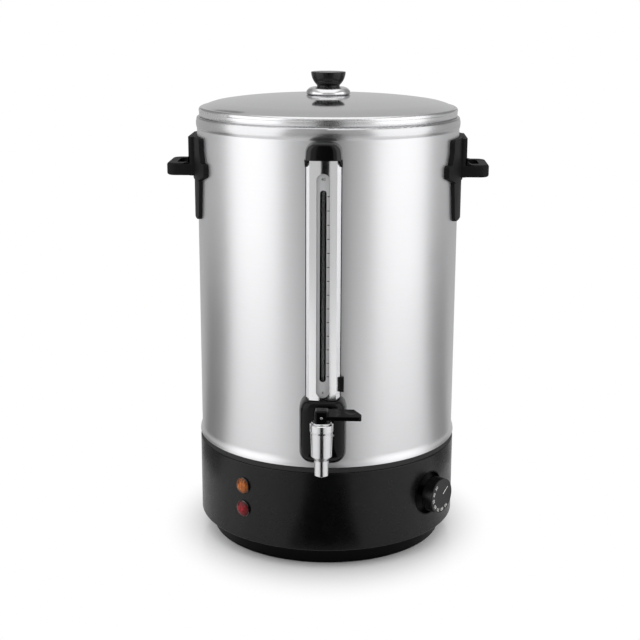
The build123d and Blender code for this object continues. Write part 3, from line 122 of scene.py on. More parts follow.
class Finish:
    """A principled surface that gets its procedural detail step by step."""

    def __init__(self, name, colour, metallic=0.0, roughness=0.4):
        self.material = bpy.data.materials.new(name)
        self.material.use_nodes = True
        self.tree = self.material.node_tree
        self.shader = self.tree.nodes["Principled BSDF"]
        self.colour = colour
        self.roughness = roughness
        self.set("Base Color", (*colour, 1))
        self.set("Metallic", metallic)
        self.set("Roughness", roughness)

    def set(self, socket, value):
        """Sets one of the shader's own sockets."""
        self.shader.inputs[socket].default_value = value

    def node(self, kind, **settings):
        """A new node. Each setting is one of its inputs, or else one of its properties."""
        made = self.tree.nodes.new(kind)
        for key, value in settings.items():
            if key in made.inputs:
                made.inputs[key].default_value = value
            else:
                setattr(made, key, value)
        return made

    def link(self, out, into):
        """Joins an output to an input."""
        self.tree.links.new(out, into)

    def feed(self, source, into):
        """Gives an input a plain value, or joins an output to it."""
        if isinstance(source, bpy.types.NodeSocket):
            self.link(source, into)
        else:
            into.default_value = source

    def maths(self, operation, *values):
        """The result of a Math node on numbers or outputs."""
        sum_node = self.node("ShaderNodeMath", operation=operation)
        for value, socket in zip(values, sum_node.inputs):
            self.feed(value, socket)
        return sum_node.outputs[0]

    def noise(self, stretch, detail=3.0, roughness=0.55):
        """Noise in object space. The stretch is the number of cells a metre along X, Y and Z."""
        place = self.node("ShaderNodeTexCoord")
        scale = self.node("ShaderNodeMapping", Scale=stretch)
        cells = self.node("ShaderNodeTexNoise", Scale=1.0, Detail=detail, Roughness=roughness)
        self.link(place.outputs["Object"], scale.inputs["Vector"])
        self.link(scale.outputs["Vector"], cells.inputs["Vector"])
        return cells.outputs["Fac"]

    def remap(self, value, source, target, **settings):
        """Fits a value that runs over one range to another range."""
        fit = self.node("ShaderNodeMapRange", **settings)
        for key, amount in zip(("From Min", "From Max", "To Min", "To Max"), (*source, *target)):
            fit.inputs[key].default_value = amount
        self.link(value, fit.inputs["Value"])
        return fit.outputs["Result"]

    def spread(self, value, low, high):
        """Stretches the middle of a noise, where nearly all of it lies, to the range low to high."""
        return self.remap(value, (0.3, 0.7), (low, high))

    def scale_colour(self, colour, share):
        """The base colour becomes a colour, or an output, times a share."""
        shade = self.node("ShaderNodeVectorMath", operation="SCALE")
        self.feed(colour, shade.inputs[0])
        self.link(share, shade.inputs["Scale"])
        self.link(shade.outputs["Vector"], self.shader.inputs["Base Color"])

    def vary_roughness(self, value, amount):
        """Lets the roughness wander by an amount to either side."""
        low = max(self.roughness - amount, 0.01)
        self.link(self.spread(value, low, self.roughness + amount), self.shader.inputs["Roughness"])

    def vary_colour(self, value, darkest):
        """Multiplies the colour by a noise between darkest and 1."""
        self.scale_colour(self.colour, self.spread(value, darkest, 1.0))

    def bump(self, value, microns, strength):
        """Relief of a depth in thousandths of a millimetre."""
        relief = self.node("ShaderNodeBump", Distance=microns * MICRON, Strength=strength)
        self.link(value, relief.inputs["Height"])
        self.link(relief.outputs["Normal"], self.shader.inputs["Normal"])


print("a finish can vary its roughness, colour and relief")

# %% [markdown]
# ## Metal with a grain
#
# Rolling leaves hairlines along a steel sheet, and handling leaves faint smears. A noise that is
# stretched far along one axis gives the lines: the drum's is 5 cells a metre round it and 900 up it.
# Even noise gives the smears. The same function serves cast and plated metal, with equal stretches.


# %% Metal finish
def hairline_steel(name, colour, roughness, stretch, smear=0.05, microns=20):
    """Metal whose roughness and tone vary along its grain, with soft smears over it."""
    finish = Finish(name, colour, metallic=1.0, roughness=roughness)
    lines = finish.noise(stretch, detail=4.0, roughness=0.7)
    smears = finish.noise((9, 9, 7), detail=4.0, roughness=0.6)
    finish.vary_roughness(finish.maths("MULTIPLY", finish.maths("ADD", lines, smears), 0.5), smear)
    finish.vary_colour(lines, darkest=0.975)
    finish.bump(lines, microns, strength=0.25)
    return finish


# only the drum's sheet keeps its grain here, so only its stretch differs from axis to axis
finishes = {
    "satin_steel": hairline_steel("satin_steel", (0.66, 0.66, 0.67), 0.36, (5, 5, 900), 0.03, microns=8),
    "polished_steel": hairline_steel(
        "polished_steel", (0.72, 0.72, 0.73), 0.13, (60, 60, 60), smear=0.02, microns=2
    ),
    "chromed_brass": hairline_steel("chromed_brass", (0.68, 0.68, 0.69), 0.2, (90, 90, 90), 0.02, microns=2),
    "zinc_steel": hairline_steel("zinc_steel", (0.55, 0.55, 0.54), 0.36, (150, 150, 150)),
    "aluminium": hairline_steel("aluminium", (0.6, 0.6, 0.61), 0.45, (220, 220, 220)),
    "element_sheath": hairline_steel("element_sheath", (0.3, 0.27, 0.24), 0.5, (260, 260, 260)),
    "brass": hairline_steel("brass", (0.68, 0.5, 0.24), 0.3, (160, 160, 160)),
    "copper": hairline_steel("copper", (0.72, 0.38, 0.24), 0.3, (160, 160, 160)),
}
print("metals:", ", ".join(finishes))

# %% [markdown]
# ## Moulded plastic and rubber
#
# A black moulding is nearly all reflection: its own colour is close to nothing, and what tells it
# from rubber is how sharp and how strong the reflection is. The grips are duller than the base, so
# that a wet hand holds them, and rubber is the dullest.


# %% Moulded finish
def moulded(name, colour, roughness, grain=900, microns=20, smear=0.05, shine=0.5):
    """Moulded plastic or rubber: a fine surface grain and a slightly uneven shine."""
    finish = Finish(name, colour, roughness=roughness)
    finish.set("Specular IOR Level", shine)
    finish.bump(finish.noise((grain, grain, grain), detail=2.0), microns, strength=0.4)
    cloud = finish.noise((28, 28, 28), detail=4.0)
    finish.vary_roughness(cloud, smear)
    finish.vary_colour(cloud, darkest=0.8)
    return finish


finishes |= {
    "black_moulding": moulded("black_moulding", (0.003, 0.003, 0.0032), 0.21, 600, microns=12, shine=0.32),
    "black_grip": moulded("black_grip", (0.011, 0.011, 0.0115), 0.5, 1400, microns=30, shine=0.06),
    "pale_moulding": moulded("pale_moulding", (0.72, 0.71, 0.66), 0.45),
    "rubber": moulded("rubber", (0.012, 0.012, 0.012), 0.7, 1500, microns=40),
    "silicone": moulded("silicone", (0.62, 0.6, 0.55), 0.5, 1200),
    "ceramic": moulded("ceramic", (0.75, 0.72, 0.64), 0.25, 500),
    "wire": moulded("wire", (0.08, 0.08, 0.1), 0.45, 900),
}
print(len(finishes), "finishes with the mouldings")

# %% [markdown]
# ## Glass and lamp lenses
#
# The level shows in a clear tube, so its wall lets all light through. The lamp lenses are unlit:
# from outside they look like deep, tinted plastic, and a solid colour with a weak shine gives that
# without the noise of light bouncing inside a small bulb housing. A painted highlight, painted shade
# and painted streaks of light are added to that colour further on.


# %% Clear and tinted finish
def clear_finish(name, colour, roughness, ior, through, shine=0.5):
    """Clear or tinted plastic and glass, with the faint waviness of an extruded or moulded wall."""
    finish = Finish(name, colour, roughness=roughness)
    finish.set("Transmission Weight", through)
    finish.set("IOR", ior)
    finish.set("Specular IOR Level", shine)
    finish.bump(finish.noise((60, 60, 12), detail=2.0), microns=5, strength=0.3)
    finish.vary_roughness(finish.noise((40, 40, 40)), 0.02)
    return finish


finishes["clear_tube"] = clear_finish("clear_tube", (0.93, 0.96, 0.96), 0.04, ior=1.47, through=1.0)
finishes["amber"] = clear_finish("amber", (0.62, 0.17, 0.03), 0.1, ior=1.5, through=0.0, shine=0.22)
finishes["red"] = clear_finish("red", (0.3, 0.004, 0.01), 0.1, ior=1.5, through=0.0, shine=0.22)
print(len(finishes), "finishes in all")

# %% [markdown]
# ## Buffed rims on the drum and lid
#
# The drum's sheet is satin, but its rim is buffed after it is rolled, and so is the lid above its
# crease. One sheet with two finishes could be two materials on two groups of faces, with a hard
# line between them. A height in object space does better: the wheel leaves a soft border.

# %% Buffed rims
DRUM_LOW, DRUM_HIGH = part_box("drum_shell")[0][2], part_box("drum_shell")[1][2]
RIM_HEIGHT = DRUM_HIGH - 16.5 * MM
LID_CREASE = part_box("lid_shell")[1][2] - 18.1 * MM
BORDER = 3.0 * MM


def polish_above(finish, height, roughness, dim=1.0):
    """Above a height the finish turns into a polished, smoother and perhaps darker one."""
    place = finish.node("ShaderNodeTexCoord")
    split = finish.node("ShaderNodeSeparateXYZ")
    finish.link(place.outputs["Object"], split.inputs["Vector"])
    rise = split.outputs["Z"]
    border = (height, height + BORDER)
    satin = finish.remap(rise, border, (1.0, 0.0), interpolation_type="SMOOTHSTEP")
    shade = finish.remap(rise, border, (1.0, dim), interpolation_type="SMOOTHSTEP")

    # above the border only the polished roughness is left of the sheet's own
    sheet = finish.shader.inputs["Roughness"].links[0].from_socket
    rougher = finish.maths("SUBTRACT", sheet, roughness)
    mixed = finish.maths("MULTIPLY_ADD", rougher, satin, roughness)
    finish.link(mixed, finish.shader.inputs["Roughness"])

    # the sheet's relief fades out in the same way
    relief = finish.shader.inputs["Normal"].links[0].from_node
    strength = relief.inputs["Strength"]
    finish.link(finish.maths("MULTIPLY", satin, strength.default_value), strength)

    finish.scale_colour(finish.shader.inputs["Base Color"].links[0].from_socket, shade)


polish_above(finishes["satin_steel"], RIM_HEIGHT, 0.25, dim=0.84)
lid_steel = hairline_steel("lid_steel", (0.69, 0.69, 0.7), 0.27, (60, 60, 60), 0.02, microns=1)
polish_above(lid_steel, LID_CREASE, 0.11)
print("buffed above", round(RIM_HEIGHT / MM, 1), "and", round(LID_CREASE / MM, 1), "mm")

# %% [markdown]
# ## Pieces with a finish of their own
#
# Pieces of one material still differ: the tap's housing comes from a better polished mould than the
# base, and the foot is dull with wear. Each of those gets its own amounts here, and every other
# piece takes the finish that its material slot names.

# %% Own finishes
own_finishes = {
    "lid_shell": lid_steel,
    "gauge_guard": hairline_steel("guard_steel", (0.93, 0.93, 0.94), 0.13, (200, 200, 6), 0.03, microns=4),
    "lid_knob_plate": hairline_steel("rosette_steel", (0.72, 0.72, 0.73), 0.2, (60, 60, 60), 0.02, microns=4),
    "gauge_scale_plate": hairline_steel(
        "scale_steel", (0.8, 0.8, 0.81), 0.35, (300, 300, 9), smear=0.04, microns=6
    ),
    "base_housing": moulded("base_moulding", (0.0025, 0.0025, 0.0027), 0.27, 600, microns=12, shine=0.26),
    "tap_housing": moulded(
        "housing_moulding", (0.0015, 0.0015, 0.0016), 0.14, grain=600, microns=8, smear=0.03, shine=0.16
    ),
    "gauge_cap": moulded("cap_moulding", (0.0025, 0.0025, 0.0027), 0.16, 600, 8, smear=0.03, shine=0.34),
    "tap_lever": moulded("lever_moulding", (0.0018, 0.0018, 0.0019), 0.2, 900, 10, smear=0.03, shine=0.14),
    "lamp_bezels": moulded("bezel_moulding", (0.003, 0.003, 0.003), 0.08, 600, 4, smear=0.02, shine=0.9),
    "foot_ring": moulded("foot_moulding", (0.002, 0.002, 0.0022), 0.35, 600, shine=0.04),
    "dial_recess": moulded("recess_moulding", (0.0015, 0.0015, 0.0016), 0.4, 600, shine=0.08),
}
# the scale plate is blasted, so part of its light scatters instead of mirroring
own_finishes["gauge_scale_plate"].set("Metallic", 0.6)

for part in frame["record"]["subparts"]:
    finish = own_finishes.get(part["node"], finishes[part["material_slot"]])
    for material_slot in nodes[part["node"]].material_slots:
        material_slot.material = finish.material

# %% [markdown]
# ## Pieces built from points
#
# What the frame doesn't hold is drawn here from points and faces, which can be written as a loop
# or a formula and give the same mesh each time. Every such piece says which body it rides on, so
# that it moves with the joints, and which material slot it stands for. Faces run anticlockwise as
# seen from outside, because that is how a mesh tells its outside from its inside.


# %% Piece helpers
def add_piece(name, vertices, faces, body, slot_name, material=None, smooth=False):
    """A mesh piece that rides on a body and takes a material, or else the one of its slot."""
    mesh = bpy.data.meshes.new(name)
    mesh.from_pydata(vertices, [], faces)
    mesh.update()
    piece = bpy.data.objects.new(name, mesh)
    scene.collection.objects.link(piece)
    mesh.materials.append(material or finishes[slot_name].material)
    for polygon in mesh.polygons:
        polygon.use_smooth = smooth
    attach(piece, body)
    return piece


def box_parts(boxes):
    """The vertices and faces of several boxes, each given as its matrix and three half sizes."""
    vertices, faces = [], []
    for place, (a, b, c) in boxes:
        start = len(vertices)
        for x in (-a, a):
            for y in (-b, b):
                for z in (-c, c):
                    vertices.append(place @ Vector((x, y, z)))
        for quad in ((0, 1, 3, 2), (4, 6, 7, 5), (0, 4, 5, 1), (2, 3, 7, 6), (0, 2, 6, 4), (1, 5, 7, 3)):
            faces.append([start + i for i in quad])
    return vertices, faces


print("a box has", len(box_parts([(Matrix.Identity(4), (1, 1, 1))])[1]), "faces")

# %% [markdown]
# ## Mouldings that hug the drum
#
# The tap's housing and the gauge's cap have full, soft edges that run into each other, which is
# how a plastic part leaves its mould. Edge bevels would meet in visible corners. Here each moulding
# is a stack of closed rings: a ring is half a superellipse, between a circle and a square, closed
# by a line along the drum, and its width and reach change with the height.

# %% Stacked rings
SUNK = 0.2 * MM


def arc_share(value):
    """Height of a unit quarter circle at a share of its foot: 0 at value 0, and 1 from value 1 on."""
    value = min(max(value, 0.0), 1.0)
    return (1 - (1 - value) ** 2) ** 0.5


def drum_wall(x):
    """Distance in front of the axis of a skin just inside the drum's, at a place to the side."""
    return ((DRUM_RADIUS - SUNK) ** 2 - x * x) ** 0.5


def drum_hugging_ring(height, half, face, fullness, points=44, back_points=9):
    """One closed ring at a height, from its right side round the front and back along the drum."""
    ring = []
    for i in range(points + 1):
        turn = pi * i / points
        x = half * abs(cos(turn)) ** (2 / fullness) * (1 if cos(turn) >= 0 else -1)
        wall = drum_wall(x)
        ring.append((x, -wall - (face - wall) * sin(turn) ** (2 / fullness), height))
    for i in range(1, back_points):
        x = -half + 2 * half * i / back_points
        ring.append((x, -drum_wall(x), height))
    return ring


def stacked_rings(rings):
    """The vertices and faces of a closed skin over equal rings that run clockwise from above."""
    count = len(rings[0])
    vertices = [point for ring in rings for point in ring]
    faces = [tuple(range(count)), tuple(range(len(vertices) - count, len(vertices)))[::-1]]
    for row in range(len(rings) - 1):
        for i in range(count):
            here = row * count + i
            after = row * count + (i + 1) % count
            faces.append((here, here + count, after + count, after))
    return vertices, faces


def moulding_over(node, name, ring_at, low, high, rows=56, extra=((), ())):
    """A smooth moulding between two heights, with extra flat faces, that stands for a node."""
    rings = []
    for row in range(rows + 1):
        share = (1 - cos(pi * row / rows)) / 2
        rings.append(ring_at(low + (high - low) * share))
    vertices, faces = stacked_rings(rings)
    start = len(vertices)
    vertices += extra[0]
    faces += [[start + i for i in face] for face in extra[1]]
    plastic = own_finishes[node].material
    piece = add_piece(name, vertices, faces, "urn", "black_moulding", plastic, smooth=True)
    for polygon in piece.data.polygons:
        if len(polygon.vertices) > 4 or polygon.vertices[0] >= start:
            polygon.use_smooth = False
    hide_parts(node)
    print(name, "has", len(rings), "rings of", len(rings[0]), "points")


print("the drum is", round(drum_wall(0) / MM, 1), "mm in front of the axis, where mouldings hug it")

# %% [markdown]
# ## The tap's housing
#
# The housing carries the tap. From the front it has round lower corners and narrow shoulders, and
# from the side its toe sweeps back to the drum. Its box comes from the node that it stands for.

# %% Tap housing
HOUSING_HALF = HOUSING_BOX[1][0]
HOUSING_FACE = -HOUSING_BOX[0][1]
HOUSING_LOW, HOUSING_HIGH = HOUSING_BOX[0][2], HOUSING_BOX[1][2]
CORNER = 18.0 * MM
SHOULDER_WIDTH, SHOULDER_HEIGHT = 11.0 * MM, 17.0 * MM
TOE_REACH, TOE_HEIGHT = 24.0 * MM, 28.0 * MM
TOP_ROUND = 8.0 * MM


def housing_ring(height):
    """The housing's ring: rounded corners and a toe below, narrow shoulders above."""
    above, below = height - HOUSING_LOW, HOUSING_HIGH - height
    half = HOUSING_HALF - CORNER * (1 - arc_share(above / CORNER))
    half -= SHOULDER_WIDTH * (1 - arc_share(below / SHOULDER_HEIGHT))
    face = HOUSING_FACE - TOE_REACH * (1 - arc_share(above / TOE_HEIGHT))
    face -= TOP_ROUND * (1 - arc_share(below / TOP_ROUND))
    return drum_hugging_ring(height, half, face, fullness=3.4)


moulding_over("tap_housing", "tap_housing_moulding", housing_ring, HOUSING_LOW, HOUSING_HIGH)

# %% [markdown]
# ## The gauge's cap
#
# The cap closes the gauge with a full arch, and two cheeks reach down beside the steel guard. The
# arch is a stack of rings again. The cheeks are thin plates with a slanted front, so they are
# written as eight points each, mirrored from one side to the other.

# %% Gauge cap
CAP_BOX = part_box("gauge_cap")
CAP_HIGH = CAP_BOX[1][2]
CAP_FACE = -CAP_BOX[0][1]
CAP_HALF = CAP_BOX[1][0]
CAP_EDGE = CAP_HIGH - 22.0 * MM
CAP_TAPER = 1.6 * MM
CAP_ROUND = 4.0 * MM
ARCH_WIDTH, ARCH_HEIGHT = 15.0 * MM, 12.0 * MM
CHEEK_LOW, CHEEK_HIGH = CAP_BOX[0][2], CAP_EDGE + 0.5 * MM
CHEEK_BACK = DRUM_RADIUS - 2.0 * MM
CHEEK_FRONT_LOW, CHEEK_FRONT_HIGH = DRUM_RADIUS + 6.0 * MM, DRUM_RADIUS + 19.0 * MM
CHEEK_WALL_LOW, CHEEK_WALL_HIGH = 1.3 * MM, 4.4 * MM


def cap_ring(height):
    """The cap's ring: nearly upright sides that close in an arch."""
    below = CAP_HIGH - height
    half = CAP_HALF - CAP_TAPER * (height - CAP_EDGE) / (CAP_HIGH - CAP_EDGE)
    half -= ARCH_WIDTH * (1 - arc_share(below / ARCH_HEIGHT))
    face = CAP_FACE - CAP_ROUND * (1 - arc_share(below / CAP_ROUND))
    return drum_hugging_ring(height, half, face, fullness=4.6)


def cap_cheeks():
    """The vertices and faces of the two cheeks, each an outer and an inner outline."""
    vertices, faces = [], []
    for side in (-1, 1):
        start = len(vertices)
        for wall_low, wall_high in ((0, 0), (CHEEK_WALL_LOW, CHEEK_WALL_HIGH)):
            outline = (
                (wall_low, CHEEK_BACK, CHEEK_LOW),
                (wall_low, CHEEK_FRONT_LOW, CHEEK_LOW),
                (wall_high, CHEEK_FRONT_HIGH, CHEEK_HIGH),
                (wall_high, CHEEK_BACK, CHEEK_HIGH),
            )
            for wall, reach, height in outline:
                vertices.append((side * (CAP_HALF - wall), -reach, height))
        for quad in ((0, 1, 2, 3), (7, 6, 5, 4), (0, 4, 5, 1), (1, 5, 6, 2), (2, 6, 7, 3), (3, 7, 4, 0)):
            # a mirrored plate would be inside out, so its faces run the other way
            faces.append([start + i for i in quad[::-side]])
    return vertices, faces


moulding_over("gauge_cap", "gauge_cap_moulding", cap_ring, CAP_EDGE, CAP_HIGH, extra=cap_cheeks())

# %% [markdown]
# ## The tap's spring
#
# The spring presses the seat cup down. It stands on the stem, which rises when the lever is
# tilted, while the bonnet above it stays where it is. A rigid coil would push through the bonnet.
# This coil rides on the stem and gets a mesh of its own, but nothing here shortens it.

# %% Tap spring
SPRING_WIRE = 0.6 * MM
SPRING_TURNS = 5
SPRING_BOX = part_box("tap_spring")


def coil(centre, radius, bottom, top, turns, wire, steps=36, sides=10):
    """The vertices and faces of a round wire wound into a helix, closed at both ends."""
    vertices = []
    count = turns * steps
    for i in range(count + 1):
        angle = 2 * pi * i / steps
        outward = Vector((cos(angle), sin(angle), 0))
        middle = Vector((*centre, bottom + (top - bottom) * i / count)) + outward * radius
        for j in range(sides):
            spin = 2 * pi * j / sides
            vertices.append(middle + wire * (cos(spin) * outward + sin(spin) * Vector((0, 0, 1))))
    faces = [tuple(range(sides)), tuple(range(count * sides, (count + 1) * sides))[::-1]]
    for i in range(count):
        for j in range(sides):
            here = i * sides + j
            after = i * sides + (j + 1) % sides
            faces.append((here, here + sides, after + sides, after))
    return vertices, faces


spring_middle = [(SPRING_BOX[0][axis] + SPRING_BOX[1][axis]) / 2 for axis in (0, 1)]
spring_radius = (SPRING_BOX[1][0] - SPRING_BOX[0][0]) / 2 - SPRING_WIRE
spring_foot, spring_head = SPRING_BOX[0][2], SPRING_BOX[1][2]
coil_ends = (spring_foot + SPRING_WIRE, spring_head - SPRING_WIRE)
coil_mesh = coil(spring_middle, spring_radius, *coil_ends, SPRING_TURNS, SPRING_WIRE)
spring_coil = add_piece("tap_spring_coil", *coil_mesh, "tap_valve", "zinc_steel", smooth=True)
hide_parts("tap_spring")

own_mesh(spring_coil)
print("spring", round((spring_head - spring_foot) / MM, 2), "mm long, radius", round(spring_radius / MM, 2))

# %% [markdown]
# ## The gauge's scale
#
# The level is read against short lines beside the slot. On a steel plate they are etched and
# filled with black, so they are hardly raised at all: here a few hundredths of a millimetre. They
# could be a pattern in the plate's material, but as a mesh they stay sharp at any distance.

# %% Scale lines
TICKS = 14
TICK_BOTTOM = SCALE_BOX[0][2] + 29.2 * MM
TICK_STEP = 17.9 * MM
TICK_SIDE = 6.6 * MM
TICK_HALF_SIZE = (1.5 * MM, 0.04 * MM, 0.45 * MM)
tick_heights = [TICK_BOTTOM + tick * TICK_STEP for tick in range(TICKS)]
tick_places = [Matrix.Translation((TICK_SIDE, -SCALE_FACE, height)) for height in tick_heights]
add_piece("scale_lines", *box_parts([(place, TICK_HALF_SIZE) for place in tick_places]), "urn", "black_grip")
print(TICKS, "scale lines, from", round(tick_heights[0], 4), "to", round(tick_heights[-1], 4), "m")

# %% [markdown]
# ## Printing
#
# Pad printing leaves a film of ink that is thinner than a hair. A text curve with a little
# extrusion gives the letters, and it is turned into a plain mesh, because a mesh can ride on a body
# and be exported like every other piece.

# %% Printing helper
INK_THICKNESS = 0.03 * MM
PRINT_LIFT = 0.02 * MM
white_ink = moulded("white_ink", (0.82, 0.82, 0.8), 0.5, 1500, microns=10).material
black_ink = moulded("black_ink", (0.02, 0.02, 0.02), 0.5, 1500, microns=10).material


def printed_word(name, text, place, size, body, ink):
    """A word of flat letters at a place, as a thin mesh."""
    curve = bpy.data.curves.new(name, "FONT")
    curve.body = text
    curve.size = size
    curve.align_x = "CENTER"
    curve.align_y = "CENTER"
    curve.extrude = INK_THICKNESS
    word = bpy.data.objects.new(name, curve)
    scene.collection.objects.link(word)
    word.matrix_world = place
    bpy.context.view_layer.update()
    mesh = bpy.data.meshes.new_from_object(word.evaluated_get(bpy.context.evaluated_depsgraph_get()))
    mesh.transform(word.matrix_world)
    bpy.data.objects.remove(word)
    piece = bpy.data.objects.new(name, mesh)
    scene.collection.objects.link(piece)
    mesh.materials.clear()
    mesh.materials.append(ink)
    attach(piece, body)


print("inks:", white_ink.name, "and", black_ink.name)

# %% [markdown]
# ## The dial's figures and pointer
#
# Temperatures are printed in white near the rim of the dial's own face, so they turn with it. They
# run from the upper left, round the bottom, to the lower right. The dial's place and facing come
# from the hinge that it turns on.

# %% Dial print
FIGURES = (30, 40, 50, 60, 70, 80, 90)
FIGURE_START, FIGURE_SWEEP = 42, 170
FIGURE_RADIUS = 19.2 * MM
FIGURE_SIZE = 6.2 * MM
POINTER_TURN = radians(-55)
POINTER_RADIUS = 10.5 * MM
POINTER_HALF_SIZE = (0.6 * MM, 6.8 * MM, 0.06 * MM)

dial_hinge = joints["thermostat_turn"]
dial_azimuth = atan2(-dial_hinge["axis"][0], dial_hinge["axis"][1])
dial_face = reach_outward("thermostat_knob", dial_azimuth)
face = outward_frame(dial_azimuth, dial_hinge["pos_m"][2], dial_face)
for order, figure in enumerate(FIGURES):
    turn = radians(FIGURE_START + order * FIGURE_SWEEP / (len(FIGURES) - 1))
    spot = face @ Matrix.Rotation(turn, 4, "Z") @ Matrix.Translation((0, FIGURE_RADIUS, PRINT_LIFT))
    name = f"dial_figure_{figure}"
    printed_word(name, str(figure), spot, FIGURE_SIZE, "thermostat_dial", white_ink)

pointer_place = face @ Matrix.Rotation(POINTER_TURN, 4, "Z") @ Matrix.Translation((0, POINTER_RADIUS, 0))
pointer = box_parts([(pointer_place, POINTER_HALF_SIZE)])
add_piece("dial_pointer", *pointer, "thermostat_dial", "pale_moulding", white_ink)
print(len(FIGURES), "figures and a pointer,", round(dial_face / MM, 1), "mm from the axis")

# %% [markdown]
# ## Figures on the scale plate
#
# The scale's two ends carry a plain number each, printed in black on the steel: 40 at the top and
# 4 at the bottom.

# %% Scale figures
SCALE_ENDS = {40: SCALE_BOX[1][2] - 21.5 * MM, 4: SCALE_BOX[0][2] + 7.2 * MM}
SCALE_FIGURE_SIZE = 5.5 * MM
plate_place = Matrix(((1, 0, 0, 0), (0, 0, -1, -SCALE_FACE), (0, 1, 0, 0), (0, 0, 0, 1)))
for figure, height in SCALE_ENDS.items():
    spot = plate_place @ Matrix.Translation((0, height, PRINT_LIFT))
    name = f"scale_figure_{figure}"
    printed_word(name, str(figure), spot, SCALE_FIGURE_SIZE, "urn", black_ink)
print("scale figures at", [round(height, 4) for height in SCALE_ENDS.values()], "m")

# %% [markdown]
# ## Lamp domes
#
# Each lamp ends in a domed lens that nearly fills its ring. The lens has moulded ridges inside that
# spread the light of a small bulb. The dome is a disc of rings and spokes, lifted by a power of the
# radius so that it is flat in the middle and steep at the rim, with the ridges as a ripple round it.

# %% Lamp dome
DOME_RADIUS = 10.9 * MM
DOME_HEIGHT = 3.6 * MM
DOME_FOOT = BASE_RADIUS + 2.5 * MM
DOME_POWER = 2.4
RIDGES = 12
RIDGE_HEIGHT = 0.12 * MM


def lamp_dome(place, rings=14, spokes=72):
    """The vertices and faces of a domed disc with fine radial ridges."""
    vertices, faces = [place @ Vector((0, 0, DOME_HEIGHT))], []
    for ring in range(1, rings + 1):
        share = ring / rings
        radius = DOME_RADIUS * share
        for spoke in range(spokes):
            angle = 2 * pi * spoke / spokes
            ridge = RIDGE_HEIGHT * cos(RIDGES * angle) * sin(pi * share)
            height = DOME_HEIGHT * (1 - share**DOME_POWER) + ridge
            vertices.append(place @ Vector((radius * cos(angle), radius * sin(angle), height)))
    for spoke in range(spokes):
        after = (spoke + 1) % spokes
        faces.append((0, 1 + spoke, 1 + after))
        for ring in range(rings - 1):
            inner, outer = 1 + ring * spokes, 1 + (ring + 1) * spokes
            faces.append((inner + spoke, outer + spoke, outer + after, inner + after))
    return vertices, faces


print("lamp domes stand", round((DOME_FOOT + DOME_HEIGHT - BASE_RADIUS) / MM, 1), "mm out of the base")

# %% [markdown]
# ### Painted light in a lens
#
# A tinted lens looks bright in the middle, where the bulb's reflector stands behind it, and dark at
# its rim, and the ridges break that into streaks. The lamps are unlit, so all three are painted light:
# distance from the lens's middle gives a painted highlight in the middle and painted shade at the
# rim, and noise gives painted streaks of light. Both multiply the colour.

# %% Lens colours with painted light
# the painted highlight fills this radius, and the painted shade leaves this share of the colour at the rim
PAINTED_HIGHLIGHT_RADIUS = 3.0 * MM
PAINTED_SHADE_AT_RIM = 0.15
LAMP_AZIMUTH = radians(-36.6)


def lens_glow(finish, centre):
    """Paints a highlight in the lens's middle, shade towards its rim and streaks of light from its ridges."""
    place = finish.node("ShaderNodeTexCoord")
    away = finish.node("ShaderNodeVectorMath", operation="DISTANCE")
    away.inputs[1].default_value = centre
    finish.link(place.outputs["Object"], away.inputs[0])
    # painted shade: the full colour in the middle falls to a small share at the rim
    dim = finish.remap(away.outputs["Value"], (PAINTED_HIGHLIGHT_RADIUS, DOME_RADIUS), (1.0, PAINTED_SHADE_AT_RIM))
    # painted streaks of light, from a fifth of the colour to half again as bright
    painted_streaks = finish.spread(finish.noise((420, 420, 200)), 0.2, 1.5)
    finish.scale_colour(finish.colour, finish.maths("MULTIPLY", dim, painted_streaks))


for colour in ("amber", "red"):
    lens_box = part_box(f"{colour}_lens")
    height = (lens_box[0][2] + lens_box[1][2]) / 2
    dome_place = outward_frame(LAMP_AZIMUTH, height, DOME_FOOT)
    # paints a highlight, shade and streaks of light into the lens's colour
    lens_glow(finishes[colour], dome_place.translation)
    add_piece(f"{colour}_lamp_dome", *lamp_dome(dome_place), "urn", colour, smooth=True)
    print(colour, "lamp at a height of", round(height / MM, 1), "mm")

# %% [markdown]
# ## The drum's seam
#
# The drum is one sheet, rolled up and welded at the back, then ground nearly flush. A faint band of
# coarser grinding is all that shows, so a thin skin over the drum with a rougher steel is enough.

# %% Weld seam
SEAM_HALF = radians(0.9)
SEAM_ENDS = (DRUM_LOW + 13.0 * MM, RIM_HEIGHT - 0.5 * MM)
SEAM_STEPS = 6
seam_radius = DRUM_RADIUS + 0.06 * MM
seam_steel = hairline_steel("ground_weld", (0.6, 0.6, 0.61), 0.45, (500, 500, 40), smear=0.08).material
seam_vertices = []
for height in SEAM_ENDS:
    for step in range(SEAM_STEPS + 1):
        azimuth = pi - SEAM_HALF + 2 * SEAM_HALF * step / SEAM_STEPS
        seam_vertices.append((sin(azimuth) * seam_radius, -cos(azimuth) * seam_radius, height))
seam_faces = [(i, i + 1, i + SEAM_STEPS + 2, i + SEAM_STEPS + 1) for i in range(SEAM_STEPS)]
add_piece("drum_weld_seam", seam_vertices, seam_faces, "urn", "satin_steel", seam_steel, smooth=True)
print("seam", round(2 * SEAM_HALF * DRUM_RADIUS / MM, 1), "mm wide")

# %% [markdown]
# ## The table
#
# The urn stands on a glossy white table that runs out of sight. A real white sweep is lit until it
# is pure white a little way from the object. Here the table does that by itself: close to the urn it
# is a real glossy surface that takes its shadow, and further out it fades to plain white, but only
# for the camera, so it throws no extra light on the urn.

# %% Table
TABLE_HALF = 8.0
SHADOW_END, WHITE_START = 0.165, 0.282
OVAL = (1.16, 1.0, 1.0)
WHITE = (1, 1, 1, 1)

table_mesh = bpy.data.meshes.new("studio_table")
table_corners = [(x * TABLE_HALF, y * TABLE_HALF, 0) for x, y in ((-1, -1), (1, -1), (1, 1), (-1, 1))]
table_mesh.from_pydata(table_corners, [], [(0, 1, 2, 3)])
table = bpy.data.objects.new("studio_table", table_mesh)
scene.collection.objects.link(table)

